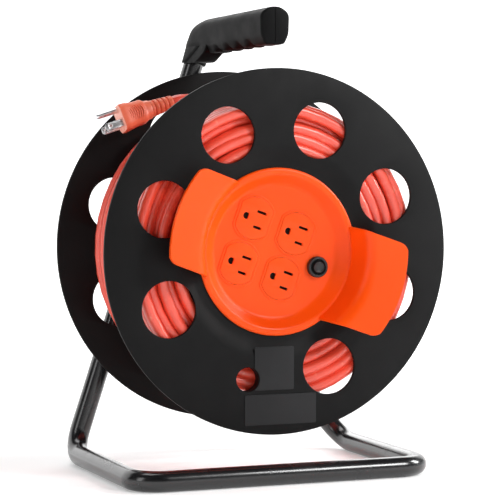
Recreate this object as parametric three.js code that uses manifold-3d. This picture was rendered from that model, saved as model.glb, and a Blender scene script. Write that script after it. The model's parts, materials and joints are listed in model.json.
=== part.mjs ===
// Extension cord reel: a drum of wound cord that turns on one axle behind it,
// carried by a bent tube stand with a hand grip, with four outlets and a
// circuit breaker in a recessed panel on the drum's front.
//
// World frame: +Z up, floor at z = 0, the drum's axle along Y, front towards -Y.
// Drum frame: x right, y up, z out of the front, with its origin on the axle
// at the drum's middle. Millimetres throughout.

import * as THREE from 'three';
import { mergeVertices } from 'three/addons/utils/BufferGeometryUtils.js';
import Module from 'manifold-3d';

const wasm = await Module();
wasm.setup();

// ---------------------------------------------------------------- driving dimensions

const GAP = 0.3; // clearance between neighbouring pieces
const CUT = 1; // how far a cutting body runs past the face it opens
const FAR = 200; // half size of a cutting block that clears the whole reel
const FRONT_CUT = [49, 71]; // depth range of cutters through the drum's front
const REAR_CUT = [-71, -49];
const DISC_SEGMENTS = 56;
const BOWL_SEGMENTS = 48;
const CORE_SEGMENTS = 32;

// stand
const AXLE_HEIGHT = 184;
const TUBE_RADIUS = 8.5;
const FOOT_FLAT = 0.35; // how much the base tube is flattened where it stands
const BASE_RIGHT_X = 119.5;
const BASE_HALF_Y = 87.5;
const BEND_RADIUS = 22;
const REAR_BEND_RADIUS = 30;
const LEG_LEAN = 0.332; // sideways run of the left leg for each unit of height
const SPIGOT_RADIUS = 6.6;
const SPIGOT_LENGTH = 18;
const JOINT_FROM_CORNER = 46; // where the brace starts, measured up the right leg
const RIVET_DISTANCES = [5, 13]; // below the joint
const RIVET_RADIUS = 1.6;

// grip: heights in its section are from the tube's middle
const GRIP_X = -9.8;
const GRIP_CORNER_Z = AXLE_HEIGHT + 176.6;
const GRIP_BEND_RADIUS = 18;
const GRIP_RISE = 0.0235; // upward slope of the grip towards the front
const GRIP_FRONT_Y = -79.5;
const GRIP_REAR_Y = 97;
const GRIP_REAR_ROUND = 10;
const GRIP_HALF_WIDTH = 12.4;
const GRIP_TAPER = 0.6;
const GRIP_TOP = 15.2;
const GRIP_SHOULDER = 9.3;
const GRIP_CHAMFER = -8;
const GRIP_BOTTOM = -15;
const GRIP_SOLE_HALF = 8;
const TUBE_END_COVER = 10; // of grip in front of the tube's end
const COLLAR_RADIUS = TUBE_RADIUS + 1.8;
const COLLAR_BOTTOM = AXLE_HEIGHT + 155;
const COLLAR_LENGTH = 38;
const GUSSET_FRONT_Y = 45;
const GUSSET_CORNER_Y = 59.6;
const GUSSET_RISE = 8.6;
const SCALLOP_COUNT = 4;
const SCALLOP_RADIUS = 13;
const SCALLOP_DEPTH = 3;
const SCALLOP_PITCH = 24;
const SCALLOP_FIRST_Y = -46;

// drum
const DRUM_HALF = 64.4; // from its middle to each flange's outer face
const DRUM_TURN = THREE.MathUtils.degToRad(-20);
const FLANGE_RADIUS = 147.5;
const FLANGE_THICKNESS = 3;
const HOLE_RADIUS = 22.7;
const HOLE_CIRCLE = 103.5;
const HOLE_COUNT = 8;
const PARKING_HOLE = { x: 9.2, y: -105, radius: 9.7 };
const DISH_OUTER = 88;
const DISH_INNER = 69;
const DISH_FLOOR = 59.9;
const CORE_RADIUS = 80;
const CORE_WALL = 2.4;
const LIP = 3.2; // thickness of the barrel's end lips
const LEAD_Z = 30; // where the cord passes the barrel's wall
const SCREW_RADIUS = 1.5;
const TIE_RADIUS = 2;
const BOWL_SCREW_CIRCLE = 64.4;
const TIE_CIRCLE = 72;
const WINDING_RADIUS = 121;
const LOWER_WINDING_RADIUS = 113.5; // behind the last, part layer
const LAST_LAYER_Z = -49; // how far back the last layer reaches

// axle and hub
const AXLE_RADIUS = 8;
const STUD_RADIUS = 4;
const HUB_RADIUS = 15;
const HUB_BORE = 10.8;
const BUSH_RADIUS = HUB_BORE - GAP;
const HUB_FRONT = 8;
const HUB_REAR = -58;
const NUT_DEPTH = 6;
const NUT_WASHER = 1.5;

// outlet bowl
const FLOOR_Z = 54.9;
const FLOOR_RADIUS = 52.8;
const PANEL_WALL = 2.5;
const RIM_OUTER = 67.7;
const RIM_INNER = 61.3;
const RIM_UNDERSIDE = 60.2;
const WING_HALF_WIDTH = 39.5;
const WING_TIP_RADIUS = 102.5;
const WING_CORNER = 10;

// outlets, three-pin 125 V pattern
const OUTLET_LEFT_X = -26.5;
const OUTLET_RIGHT_X = 12;
const OUTLET_Y = 19.2;
const OUTLET_RADIUS = 17.1;
const OUTLET_FLAT = 14.1;
const SLOT_SPACING = 12.7;
const SLOT_OFFSET = 5;
const GROUND_OFFSET = -6.9;
const LONG_SLOT = 8.2;
const SHORT_SLOT = 7;
const SLOT_WIDTH = 2.1;
const GROUND_RADIUS = 2.6;
const OUTLET_FACE_Z = FLOOR_Z + 0.9;
const OUTLET_BACK_Z = 37;
const HOUSING_RADIUS = 51.8;
const HOUSING_BACK = 18;

// circuit breaker
const BREAKER_X = 38.9;
const BREAKER_NECK = 6;
const BREAKER_COLLAR = 8.6;
const BREAKER_BORE = 5;

// labels: left, bottom, right and top, from the axle
const RATING_LABEL = [-21.5, -111, 12.5, -76];
const NOTICE_LABEL = [-30, -139, 32, -114.5];
const LABEL_THICKNESS = 0.4;

// cord and plug
const CORD_RADIUS = 4.7;
const PLUG_Y = 37.3; // world y of the plug's middle
const PLUG_FACE = new THREE.Vector2(-100.8, 106.6); // from the axle: x, height
const PLUG_ANGLE = THREE.MathUtils.degToRad(197.6);
const PLUG_LENGTH = 28;
const RELIEF_LENGTH = 20;
const PLUG_ROLL = -76; // degrees about its own axis
const BLADE_X = -4.1;
const GROUND_X = 7.8; // the ground pin is 11.9 from the blades' row
const BLADE_LENGTH = 16;
const BLADE_HALF_WIDTH = 3.15;
const BLADE_HALF_THICKNESS = 0.75;
const PIN_RADIUS = 2.35;
const PIN_LENGTH = 19;
const PIN_SEAT = -9.5; // how deep the blades and the pin sit in the plug

// ---------------------------------------------------------------- solids and meshes

function toSolid(geometry) {
  const bare = geometry.clone();
  bare.deleteAttribute('normal');
  bare.deleteAttribute('uv');
  const welded = mergeVertices(bare, 1e-4);
  const corners = welded.index.array;
  const kept = [];
  for (let i = 0; i < corners.length; i += 3) {
    const [a, b, c] = [corners[i], corners[i + 1], corners[i + 2]];
    if (a !== b && b !== c && c !== a) kept.push(a, b, c);
  }
  const mesh = new wasm.Mesh({
    numProp: 3,
    vertProperties: new Float32Array(welded.attributes.position.array),
    triVerts: new Uint32Array(kept),
  });
  return new wasm.Manifold(mesh);
}

function toGeometry(solid) {
  const mesh = solid.getMesh();
  const geometry = new THREE.BufferGeometry();
  geometry.setAttribute('position', new THREE.BufferAttribute(mesh.vertProperties, 3));
  geometry.setIndex(new THREE.BufferAttribute(mesh.triVerts, 1));
  return geometry;
}

function piece(name, solid, [color, roughness, metalness]) {
  const material = new THREE.MeshStandardMaterial({ color, roughness, metalness });
  const mesh = new THREE.Mesh(toGeometry(solid), material);
  mesh.name = name;
  return mesh;
}

const LOOKS = {
  tube: [0x0c0c0c, 0.22, 0.3],
  grip: [0x282828, 0.5, 0],
  flange: [0x262626, 0.6, 0],
  panel: [0xff5f23, 0.4, 0],
  cord: [0xeb553c, 0.45, 0],
  plug: [0xf0603f, 0.45, 0],
  inner: [0x1b1b1b, 0.6, 0],
  steel: [0xb9bcc0, 0.3, 1],
  brass: [0xc9a24a, 0.3, 1],
  label: [0x333333, 0.5, 0],
  white: [0xe8e6e0, 0.4, 0],
};

// ---------------------------------------------------------------- shape helpers

const counted = (count) => Array.from({ length: count }, (_, k) => k);

// A profile of [radius, z] points turned about the z axis. A ring's profile
// closes on itself; any other starts and ends on the axis.
function turned(profile, segments = 48) {
  const onAxis = profile[0][0] === 0;
  const points = profile.map(([r, z]) => new THREE.Vector2(r, z));
  if (!onAxis) points.push(points[0].clone());
  return toSolid(new THREE.LatheGeometry(points, segments).rotateX(Math.PI / 2));
}

const rod = (radius, z0, z1, segments = 24) =>
  turned([[0, z0], [radius, z0], [radius, z1], [0, z1]], segments);

const ring = (inner, outer, z0, z1, segments = 48) =>
  turned([[inner, z0], [outer, z0], [outer, z1], [inner, z1]], segments);

// A flat outline in x and y, given thickness from z0 to z1.
function plate(shape, z0, z1, curveSegments = 8) {
  const options = { depth: z1 - z0, bevelEnabled: false, curveSegments };
  return toSolid(new THREE.ExtrudeGeometry(shape, options).translate(0, 0, z0));
}

const polygon = (corners) => new THREE.Shape(corners.map(([x, y]) => new THREE.Vector2(x, y)));

const block = (x0, y0, z0, x1, y1, z1) => plate(polygon([[x0, y0], [x1, y0], [x1, y1], [x0, y1]]), z0, z1);

// The corners of a regular polygon about the origin.
function regular(sides, radius) {
  const step = (2 * Math.PI) / sides;
  return polygon(counted(sides).map((k) => [radius * Math.cos(k * step), radius * Math.sin(k * step)]));
}

const union = (solids) => solids.reduce((all, solid) => all.add(solid));

// A path that passes its stations at even parameter steps, so that a sweep
// spends its sections in the bends and not along the straights.
class StationPath extends THREE.Curve {
  constructor(stations) {
    super();
    this.stations = stations;
  }

  getPoint(t) {
    const place = t * (this.stations.length - 1);
    const i = Math.min(Math.floor(place), this.stations.length - 2);
    return this.stations[i].clone().lerp(this.stations[i + 1], place - i);
  }

  getPointAt(u) {
    return this.getPoint(u);
  }

  getTangentAt(u) {
    const last = this.stations.length - 1;
    const i = Math.round(u * last);
    const before = this.stations[Math.max(i - 1, 0)];
    const after = this.stations[Math.min(i + 1, last)];
    const here = this.stations[i];
    if (i === 0 || i === last) return after.clone().sub(before).normalize();
    const arriving = here.clone().sub(before).normalize();
    return arriving.add(after.clone().sub(here).normalize()).normalize();
  }
}

function sweep(stations, radius, sides = 14) {
  return toSolid(new THREE.ExtrudeGeometry(regular(sides, radius), {
    steps: stations.length - 1,
    bevelEnabled: false,
    extrudePath: new StationPath(stations),
  }));
}

// The stations of a tube bent through the given corners, each { at, radius }.
function bentRoute(corners, stepsPerBend = 7) {
  const stations = [corners[0].at.clone()];
  for (let i = 1; i < corners.length - 1; i += 1) {
    const { at, radius } = corners[i];
    const arriving = at.clone().sub(corners[i - 1].at).normalize();
    const leaving = corners[i + 1].at.clone().sub(at).normalize();
    const turn = arriving.angleTo(leaving);
    const reach = radius * Math.tan(turn / 2);
    const start = at.clone().addScaledVector(arriving, -reach);
    const inward = leaving.clone().addScaledVector(arriving, -Math.cos(turn)).normalize();
    for (let k = 0; k <= stepsPerBend; k += 1) {
      const angle = (turn * k) / stepsPerBend;
      const station = start.clone()
        .addScaledVector(arriving, radius * Math.sin(angle))
        .addScaledVector(inward, radius * (1 - Math.cos(angle)));
      stations.push(station);
    }
  }
  stations.push(corners[corners.length - 1].at.clone());
  return stations;
}

const moved = (solid, x, y) => solid.translate([x, y, 0]);

// ---------------------------------------------------------------- stand

const vec = (x, y, z) => new THREE.Vector3(x, y, z);

const FLOOR_TUBE_Z = TUBE_RADIUS - FOOT_FLAT;
const legX = (z) => GRIP_X - (GRIP_CORNER_Z - z) * LEG_LEAN;
const gripZ = (y) => GRIP_CORNER_Z + (BASE_HALF_Y - y) * GRIP_RISE;

const gripCorner = vec(GRIP_X, BASE_HALF_Y, GRIP_CORNER_Z);
const rearLeft = vec(legX(FLOOR_TUBE_Z), BASE_HALF_Y, FLOOR_TUBE_Z);
const rearRight = vec(BASE_RIGHT_X, BASE_HALF_Y, FLOOR_TUBE_Z);
const axleRear = vec(0, BASE_HALF_Y, AXLE_HEIGHT);
const braceUp = axleRear.clone().sub(rearRight).normalize();
const tubeJoint = rearRight.clone().addScaledVector(braceUp, JOINT_FROM_CORNER);

// The brace's line meets the left leg's line here.
const meetHeight = (() => {
  const run = braceUp.x / braceUp.z;
  return (legX(0) + AXLE_HEIGHT * run) / (run - LEG_LEAN);
})();
const braceTop = vec(legX(meetHeight), BASE_HALF_Y, meetHeight);

function frameRoute(gripEndY) {
  return bentRoute([
    { at: vec(GRIP_X, gripEndY, gripZ(gripEndY)) },
    { at: gripCorner, radius: GRIP_BEND_RADIUS },
    { at: rearLeft, radius: BEND_RADIUS },
    { at: vec(rearLeft.x, -BASE_HALF_Y, FLOOR_TUBE_Z), radius: BEND_RADIUS },
    { at: vec(BASE_RIGHT_X, -BASE_HALF_Y, FLOOR_TUBE_Z), radius: BEND_RADIUS },
    { at: rearRight, radius: REAR_BEND_RADIUS },
    { at: tubeJoint },
  ]);
}

// A straight bar between two points.
const bar = (from, to, radius, sides = 14) => sweep([from, to], radius, sides);

const along = (from, direction, distance) => from.clone().addScaledVector(direction, distance);

const rivetSpots = RIVET_DISTANCES.map((distance) => along(tubeJoint, braceUp, -distance));

// A rivet lies along Y with its domed head at the front of the tube.
function rivet(clearance) {
  const shank = RIVET_RADIUS + clearance;
  const reach = TUBE_RADIUS + 1.4 + clearance;
  const profile = [
    [0, -2 * RIVET_RADIUS], [shank, -2 * RIVET_RADIUS], [shank, TUBE_RADIUS + GAP],
    [1.9 * shank, TUBE_RADIUS + GAP], [1.4 * shank, reach], [0, reach],
  ];
  return turned(profile, 12).rotate([90, 0, 0]);
}

function standFrame() {
  const spigotRoom = bar(along(tubeJoint, braceUp, -SPIGOT_LENGTH - GAP), along(tubeJoint, braceUp, CUT),
    SPIGOT_RADIUS + GAP);
  const rivetRoom = rivetSpots.map((spot) => rivet(GAP).translate(spot.toArray()));
  const belowFloor = block(-FAR, -FAR, -TUBE_RADIUS, FAR, FAR, 0);
  const tube = sweep(frameRoute(GRIP_FRONT_Y + TUBE_END_COVER), TUBE_RADIUS);
  return tube.subtract(union([spigotRoom, belowFloor, ...rivetRoom]));
}

function standBrace() {
  const foot = along(tubeJoint, braceUp, GAP);
  const body = bar(foot, braceTop, TUBE_RADIUS);
  const spigot = bar(along(tubeJoint, braceUp, -SPIGOT_LENGTH), along(tubeJoint, braceUp, CUT), SPIGOT_RADIUS);
  const upLeg = vec(LEG_LEAN, 0, 1).normalize();
  const reach = 7 * TUBE_RADIUS;
  const leg = bar(along(braceTop, upLeg, -reach), along(braceTop, upLeg, reach), TUBE_RADIUS + GAP);
  const studHole = rod(STUD_RADIUS + GAP, -TUBE_RADIUS - CUT, TUBE_RADIUS + CUT)
    .rotate([90, 0, 0]).translate(axleRear.toArray());
  const rivetHoles = rivetSpots.map((spot) => rivet(GAP).translate(spot.toArray()));
  return body.add(spigot).subtract(union([leg, studHole, ...rivetHoles]));
}

// ---------------------------------------------------------------- grip

function gripSection() {
  const shape = new THREE.Shape();
  shape.moveTo(-GRIP_SOLE_HALF, GRIP_BOTTOM);
  shape.lineTo(GRIP_SOLE_HALF, GRIP_BOTTOM);
  shape.lineTo(GRIP_HALF_WIDTH - GRIP_TAPER, GRIP_CHAMFER);
  shape.lineTo(GRIP_HALF_WIDTH, GRIP_SHOULDER);
  shape.quadraticCurveTo(0, 2 * GRIP_TOP - GRIP_SHOULDER, -GRIP_HALF_WIDTH, GRIP_SHOULDER);
  shape.lineTo(-GRIP_HALF_WIDTH + GRIP_TAPER, GRIP_CHAMFER);
  return shape;
}

// The grip seen from above: square in front, round behind.
function gripPlan() {
  const round = GRIP_REAR_ROUND;
  const shape = new THREE.Shape();
  shape.moveTo(GRIP_X - GRIP_HALF_WIDTH - CUT, GRIP_FRONT_Y);
  shape.lineTo(GRIP_X + GRIP_HALF_WIDTH + CUT, GRIP_FRONT_Y);
  shape.absarc(GRIP_X + GRIP_HALF_WIDTH - round, GRIP_REAR_Y - round, round, 0, Math.PI / 2);
  shape.absarc(GRIP_X - GRIP_HALF_WIDTH + round, GRIP_REAR_Y - round, round, Math.PI / 2, Math.PI);
  return shape;
}

// A side outline in world y and height, given a width about x = 0.
function sideSlab(outline, halfWidth) {
  const slab = plate(polygon(outline), -halfWidth, halfWidth);
  return slab.rotate([90, 0, 90]);
}

// The bar under the hand, sloping up towards the front.
function gripBar() {
  const slope = THREE.MathUtils.radToDeg(Math.atan(GRIP_RISE));
  const planCut = plate(gripPlan(), COLLAR_BOTTOM - 2 * GRIP_TOP, GRIP_CORNER_Z + 2 * GRIP_TOP, 5);
  return plate(gripSection(), 0, GRIP_REAR_Y - GRIP_FRONT_Y, 10)
    .rotate([90 - slope, 0, 0])
    .translate([GRIP_X, GRIP_REAR_Y, gripZ(GRIP_REAR_Y)])
    .intersect(planCut);
}

// The sleeve round the leg below the bend.
function gripCollar() {
  const start = COLLAR_BOTTOM - COLLAR_RADIUS;
  const foot = vec(legX(start), BASE_HALF_Y, start);
  const belowCollar = block(-FAR, -FAR, 0, FAR, FAR, COLLAR_BOTTOM);
  return bar(foot, along(foot, vec(LEG_LEAN, 0, 1).normalize(), COLLAR_LENGTH), COLLAR_RADIUS, 20)
    .subtract(belowCollar);
}

// The web that fills the corner between the bar and the sleeve, leaning with the leg.
function gripGusset() {
  const lean = new THREE.Matrix4().makeShear(0, 0, 0, 0, LEG_LEAN, 0);
  const upright = sideSlab([
    [BASE_HALF_Y, COLLAR_BOTTOM], [GUSSET_CORNER_Y, COLLAR_BOTTOM], [GUSSET_FRONT_Y, COLLAR_BOTTOM + GUSSET_RISE],
    [GUSSET_FRONT_Y, GRIP_CORNER_Z], [BASE_HALF_Y, GRIP_CORNER_Z],
  ], COLLAR_RADIUS - 1);
  return upright.transform(lean.toArray()).translate([legX(0), 0, 0]);
}

// Takes the top rear corner off the bar in three facets.
function gripRounding() {
  const above = GRIP_CORNER_Z + GRIP_TOP;
  return sideSlab([
    [GRIP_REAR_Y + CUT, GRIP_CORNER_Z], [GRIP_REAR_Y + CUT, above + 5], [GRIP_REAR_Y - 17, above + 5],
    [GRIP_REAR_Y - 17, above + CUT], [GRIP_REAR_Y - 7, above - 3.7], [GRIP_REAR_Y - 2, above - 9.2],
  ], GRIP_HALF_WIDTH + CUT).translate([GRIP_X, 0, 0]);
}

function fingerScallop(k) {
  const y = SCALLOP_FIRST_Y + SCALLOP_PITCH * k;
  const z = gripZ(y) + GRIP_BOTTOM - SCALLOP_RADIUS + SCALLOP_DEPTH;
  return rod(SCALLOP_RADIUS, -GRIP_HALF_WIDTH - CUT, GRIP_HALF_WIDTH + CUT)
    .rotate([0, 90, 0]).translate([GRIP_X, y, z]);
}

function gripBody() {
  const scallops = counted(SCALLOP_COUNT).map(fingerScallop);
  const insideGrip = frameRoute(GRIP_FRONT_Y + TUBE_END_COVER - GAP).slice(0, 10);
  return union([gripBar(), gripCollar(), gripGusset()])
    .subtract(union([gripRounding(), sweep(insideGrip, TUBE_RADIUS + GAP), ...scallops]));
}

const GRIP_SCREWS = [
  { y: GRIP_FRONT_Y + 5, z: gripZ(GRIP_FRONT_Y), x: GRIP_X },
  { y: -10, z: gripZ(-10) - 11.6, x: GRIP_X },
  { y: 66, z: COLLAR_BOTTOM + 6, x: legX(COLLAR_BOTTOM + 6) },
];

// A screw with a countersunk pan head, pointing towards -X from the right side.
function gripScrew(clearance) {
  const profile = [
    [0, -6 - clearance], [1.3 + clearance, -6 - clearance], [1.3 + clearance, 5],
    [2.7 + clearance, 5], [2.7 + clearance, 7 + clearance], [0, 7 + clearance],
  ];
  return turned(profile, 16).rotate([0, 90, 0]);
}

const gripScrewSolid = (spot, clearance) =>
  gripScrew(clearance).translate([spot.x, spot.y, spot.z]);

const gripScrewWell = (spot) =>
  rod(3, 4, 20, 16).rotate([0, 90, 0]).translate([spot.x, spot.y, spot.z]);

// Everything to the right of the seam, which follows the leg below the bend.
function rightOfSeam(offset) {
  const low = COLLAR_BOTTOM - CUT;
  const high = GRIP_CORNER_Z + 2 * GRIP_TOP;
  const outline = polygon([
    [legX(low) + offset, low], [GRIP_X + offset, GRIP_CORNER_Z], [GRIP_X + offset, high], [FAR, high], [FAR, low],
  ]);
  return plate(outline, -FAR, FAR).rotate([90, 0, 0]);
}

function gripHalves() {
  const body = gripBody();
  const screwRoom = union(GRIP_SCREWS.map((spot) => gripScrewSolid(spot, GAP).add(gripScrewWell(spot))));
  const drilled = body.subtract(screwRoom);
  return {
    left: drilled.subtract(rightOfSeam(-GAP / 2)),
    right: drilled.intersect(rightOfSeam(GAP / 2)),
  };
}

// ---------------------------------------------------------------- axle

// The axle's pieces are turned in the drum's frame, then laid along Y.
const layOnAxle = (solid) => solid.rotate([90, 0, 0]).translate([0, 0, AXLE_HEIGHT]);

const BRACE_FRONT = -BASE_HALF_Y + TUBE_RADIUS;
const BRACE_BACK = -BASE_HALF_Y - TUBE_RADIUS;
const AXLE_TIP = HUB_FRONT + 9;
const CLIP_Z = HUB_FRONT + 5;

function axle() {
  const studEnd = BRACE_BACK - GAP - NUT_WASHER - NUT_DEPTH - 2;
  const groove = CLIP_Z + 1.8;
  return turned([
    [0, studEnd], [STUD_RADIUS, studEnd], [STUD_RADIUS, BRACE_FRONT + GAP],
    [AXLE_RADIUS, BRACE_FRONT + GAP], [AXLE_RADIUS, CLIP_Z], [AXLE_RADIUS - 1.5, CLIP_Z],
    [AXLE_RADIUS - 1.5, groove], [AXLE_RADIUS, groove], [AXLE_RADIUS, AXLE_TIP - 1],
    [AXLE_RADIUS - 1, AXLE_TIP], [0, AXLE_TIP],
  ], 24);
}

// A collar around the axle's shoulder that spaces the drum from the brace.
const axleSpacer = () => turned([
  [AXLE_RADIUS + GAP, BRACE_FRONT + 1], [14, BRACE_FRONT + 1], [14, BRACE_FRONT + 7],
  [12, BRACE_FRONT + 12], [AXLE_RADIUS + GAP, BRACE_FRONT + 12],
], 24);

const axleWasher = () =>
  ring(STUD_RADIUS + GAP, 2 * STUD_RADIUS, BRACE_BACK - GAP - NUT_WASHER, BRACE_BACK - GAP, 24);

function axleNut() {
  const z1 = BRACE_BACK - 2 * GAP - NUT_WASHER;
  return plate(regular(6, 7.5), z1 - NUT_DEPTH, z1)
    .subtract(rod(STUD_RADIUS + GAP, z1 - NUT_DEPTH - CUT, z1 + CUT));
}

const thrustWasher = () => ring(AXLE_RADIUS + GAP, 14, HUB_FRONT + 3, HUB_FRONT + 4.6, 24);

// An open ring that snaps into the groove at the axle's tip.
function retainingClip() {
  const opening = block(-3, 0, CLIP_Z - CUT, 3, 20, CLIP_Z + 3);
  return ring(AXLE_RADIUS - 1.5 + GAP, 11.5, CLIP_Z + GAP, CLIP_Z + 1.5, 32).subtract(opening);
}

// ---------------------------------------------------------------- drum

const FLANGE_INNER_FACE = DRUM_HALF - FLANGE_THICKNESS;

function roundHoles(z0, z1, skipped = []) {
  return counted(HOLE_COUNT).filter((k) => !skipped.includes(k)).map((k) => {
    const angle = (2 * Math.PI * k) / HOLE_COUNT;
    return moved(rod(HOLE_RADIUS, z0 - CUT, z1 + CUT, 20),
      HOLE_CIRCLE * Math.cos(angle), HOLE_CIRCLE * Math.sin(angle));
  });
}

// The face is dished around the bowl, along half a cosine wave.
function dishPoints(lift) {
  const steps = 2;
  return counted(steps + 1).map((k) => {
    const wave = (1 - Math.cos((Math.PI * k) / steps)) / 2;
    return [
      DISH_INNER + ((DISH_OUTER - DISH_INNER) * k) / steps,
      DISH_FLOOR + (DRUM_HALF - DISH_FLOOR) * wave + lift,
    ];
  });
}

const quarterTurns = [45, 135, 225, 315].map((degrees) => THREE.MathUtils.degToRad(degrees));

const onCircle = (solid, radius, angle) => moved(solid, radius * Math.cos(angle), radius * Math.sin(angle));

const parkingCut = (clearance) =>
  moved(rod(PARKING_HOLE.radius + clearance, ...FRONT_CUT, 20), PARKING_HOLE.x, PARKING_HOLE.y);

const screwCuts = (radius, circle, range) =>
  quarterTurns.map((angle) => onCircle(rod(radius + GAP, ...range, 12), circle, angle));

// A small hole to tuck the cord's end in stands in place of the lowest round one.
function frontFlange() {
  const lowest = 6;
  const blank = turned([
    [RIM_INNER, DISH_FLOOR - FLANGE_THICKNESS], ...dishPoints(-FLANGE_THICKNESS),
    [FLANGE_RADIUS, FLANGE_INNER_FACE], [FLANGE_RADIUS, DRUM_HALF],
    ...dishPoints(0).reverse(), [RIM_INNER, DISH_FLOOR],
  ], DISC_SEGMENTS);
  return blank.subtract(union([
    ...roundHoles(FLANGE_INNER_FACE, DRUM_HALF, [lowest]), parkingCut(0),
    ...screwCuts(SCREW_RADIUS, BOWL_SCREW_CIRCLE, FRONT_CUT),
  ]));
}

function rearFlange() {
  const blank = ring(HUB_RADIUS + 2, FLANGE_RADIUS, -DRUM_HALF, -FLANGE_INNER_FACE, DISC_SEGMENTS);
  return blank.subtract(union([
    ...roundHoles(-DRUM_HALF, -FLANGE_INNER_FACE), ...screwCuts(TIE_RADIUS, TIE_CIRCLE, REAR_CUT),
  ]));
}

const CORE_FRONT = DISH_FLOOR - FLANGE_THICKNESS - GAP;
const CORE_REAR = -FLANGE_INNER_FACE + GAP;

// The cord's inner end runs inward along -x; this lays a piece turned about z on it.
const alongLead = (solid) => solid.rotate([0, -90, 0]).translate([0, 0, LEAD_Z]);

// Barrel, cross web and hub tube are one moulding, drawn as one turned profile.
function coreBarrel() {
  const inside = CORE_RADIUS - CORE_WALL;
  const moulding = turned([
    [HUB_BORE, HUB_REAR], [HUB_RADIUS, HUB_REAR], [HUB_RADIUS, -2], [inside, -2],
    [inside, CORE_REAR + LIP], [RIM_INNER - 1, CORE_REAR + LIP], [RIM_INNER - 1, CORE_REAR],
    [CORE_RADIUS, CORE_REAR], [CORE_RADIUS, CORE_FRONT],
    [RIM_INNER, CORE_FRONT], [RIM_INNER, CORE_FRONT - LIP], [inside, CORE_FRONT - LIP],
    [inside, 1], [HUB_RADIUS, 1], [HUB_RADIUS, HUB_FRONT], [HUB_BORE, HUB_FRONT],
  ], CORE_SEGMENTS);
  return moulding.subtract(union([
    alongLead(rod(CORD_RADIUS + 1, inside - CUT, CORE_RADIUS + CUT, 16)),
    ...screwCuts(SCREW_RADIUS, BOWL_SCREW_CIRCLE, FRONT_CUT), ...screwCuts(TIE_RADIUS, TIE_CIRCLE, REAR_CUT),
  ]));
}

// A flanged bush pressed into one end of the hub tube; side is 1 in front, -1 behind.
function bush(side) {
  const end = side > 0 ? HUB_FRONT : HUB_REAR;
  const bore = AXLE_RADIUS + GAP;
  const corners = [
    [bore, end - side * 14], [BUSH_RADIUS, end - side * 14], [BUSH_RADIUS, end + side * GAP],
    [HUB_RADIUS - 0.5, end + side * GAP], [HUB_RADIUS - 0.5, end + side * 2.4], [bore, end + side * 2.4],
  ];
  return turned(side > 0 ? corners : corners.reverse(), 24);
}

function bowlScrew() {
  const seat = CORE_FRONT - LIP - GAP;
  return turned([
    [0, seat - 2], [2.6, seat - 2], [2.6, seat], [SCREW_RADIUS, seat], [SCREW_RADIUS, RIM_UNDERSIDE + 1.2],
    [0, RIM_UNDERSIDE + 1.2],
  ], 12);
}

function tieScrew() {
  const seat = -DRUM_HALF - GAP;
  return turned([
    [0, seat - 1.6], [2.6, seat - 1.6], [3.8, seat], [TIE_RADIUS, seat], [TIE_RADIUS, CORE_REAR + LIP + 4],
    [0, CORE_REAR + LIP + 4],
  ], 12);
}

// ---------------------------------------------------------------- outlet bowl

function wingOutline() {
  const cornerY = WING_HALF_WIDTH - WING_CORNER;
  const cornerX = Math.sqrt((WING_TIP_RADIUS - WING_CORNER) ** 2 - cornerY ** 2);
  const tangent = Math.atan2(cornerY, cornerX);
  const shape = new THREE.Shape();
  shape.absarc(0, 0, WING_TIP_RADIUS, -tangent, tangent);
  shape.absarc(cornerX, cornerY, WING_CORNER, tangent, Math.PI / 2);
  shape.absarc(-cornerX, cornerY, WING_CORNER, Math.PI / 2, Math.PI - tangent);
  shape.absarc(0, 0, WING_TIP_RADIUS, Math.PI - tangent, Math.PI + tangent);
  shape.absarc(-cornerX, -cornerY, WING_CORNER, Math.PI + tangent, 1.5 * Math.PI);
  shape.absarc(cornerX, -cornerY, WING_CORNER, 1.5 * Math.PI, 2 * Math.PI - tangent);
  return shape;
}

// Each wing rises from the rim, then folds outward into a paddle.
function wings() {
  const band = turned([
    [63.5, RIM_UNDERSIDE + 0.8], [66.9, RIM_UNDERSIDE + 0.8], [69.2, 68], [72.8, 79], [75.6, 82.6],
    [101.5, 87.6], [102.6, 89.2], [101.2, 90.8], [74, 85.6], [70.8, 82], [66.2, 68],
  ], BOWL_SEGMENTS);
  return band.intersect(plate(wingOutline(), FLOOR_Z, WING_TIP_RADIUS, 5));
}

const OUTLET_CENTRES = [OUTLET_Y, -OUTLET_Y].flatMap((y) => [[OUTLET_LEFT_X, y], [OUTLET_RIGHT_X, y]]);

// A disc with its top and bottom cut flat.
function outletOutline(grow) {
  const radius = OUTLET_RADIUS + grow;
  const flat = OUTLET_FLAT + grow;
  const tilt = Math.acos(flat / radius);
  const shape = new THREE.Shape();
  shape.absarc(0, 0, radius, tilt, Math.PI - tilt);
  shape.absarc(0, 0, radius, Math.PI + tilt, 2 * Math.PI - tilt);
  return shape;
}

function outletBowl() {
  const bowl = turned([
    [0, FLOOR_Z - PANEL_WALL], [FLOOR_RADIUS - 0.6, FLOOR_Z - PANEL_WALL], [60.4, RIM_UNDERSIDE],
    [RIM_OUTER, RIM_UNDERSIDE], [RIM_OUTER, 60.9], [66.6, 62.4], [64.4, 62.9], [RIM_INNER + 0.7, 62.6],
    [RIM_INNER - 0.4, 61.6], [FLOOR_RADIUS + 0.9, 55.4], [FLOOR_RADIUS - 0.6, FLOOR_Z], [0, FLOOR_Z],
  ], BOWL_SEGMENTS);
  return bowl.add(wings()).subtract(union([
    ...OUTLET_CENTRES.map(([x, y]) => moved(plate(outletOutline(GAP), ...FRONT_CUT, 6), x, y)),
    moved(rod(BREAKER_NECK + GAP, ...FRONT_CUT), BREAKER_X, 0),
    ...screwCuts(SCREW_RADIUS, BOWL_SCREW_CIRCLE, [FLOOR_Z, RIM_UNDERSIDE + 1.5]),
  ]));
}

// ---------------------------------------------------------------- outlets and wiring

const STEP_Z = FLOOR_Z - PANEL_WALL - GAP;

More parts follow.
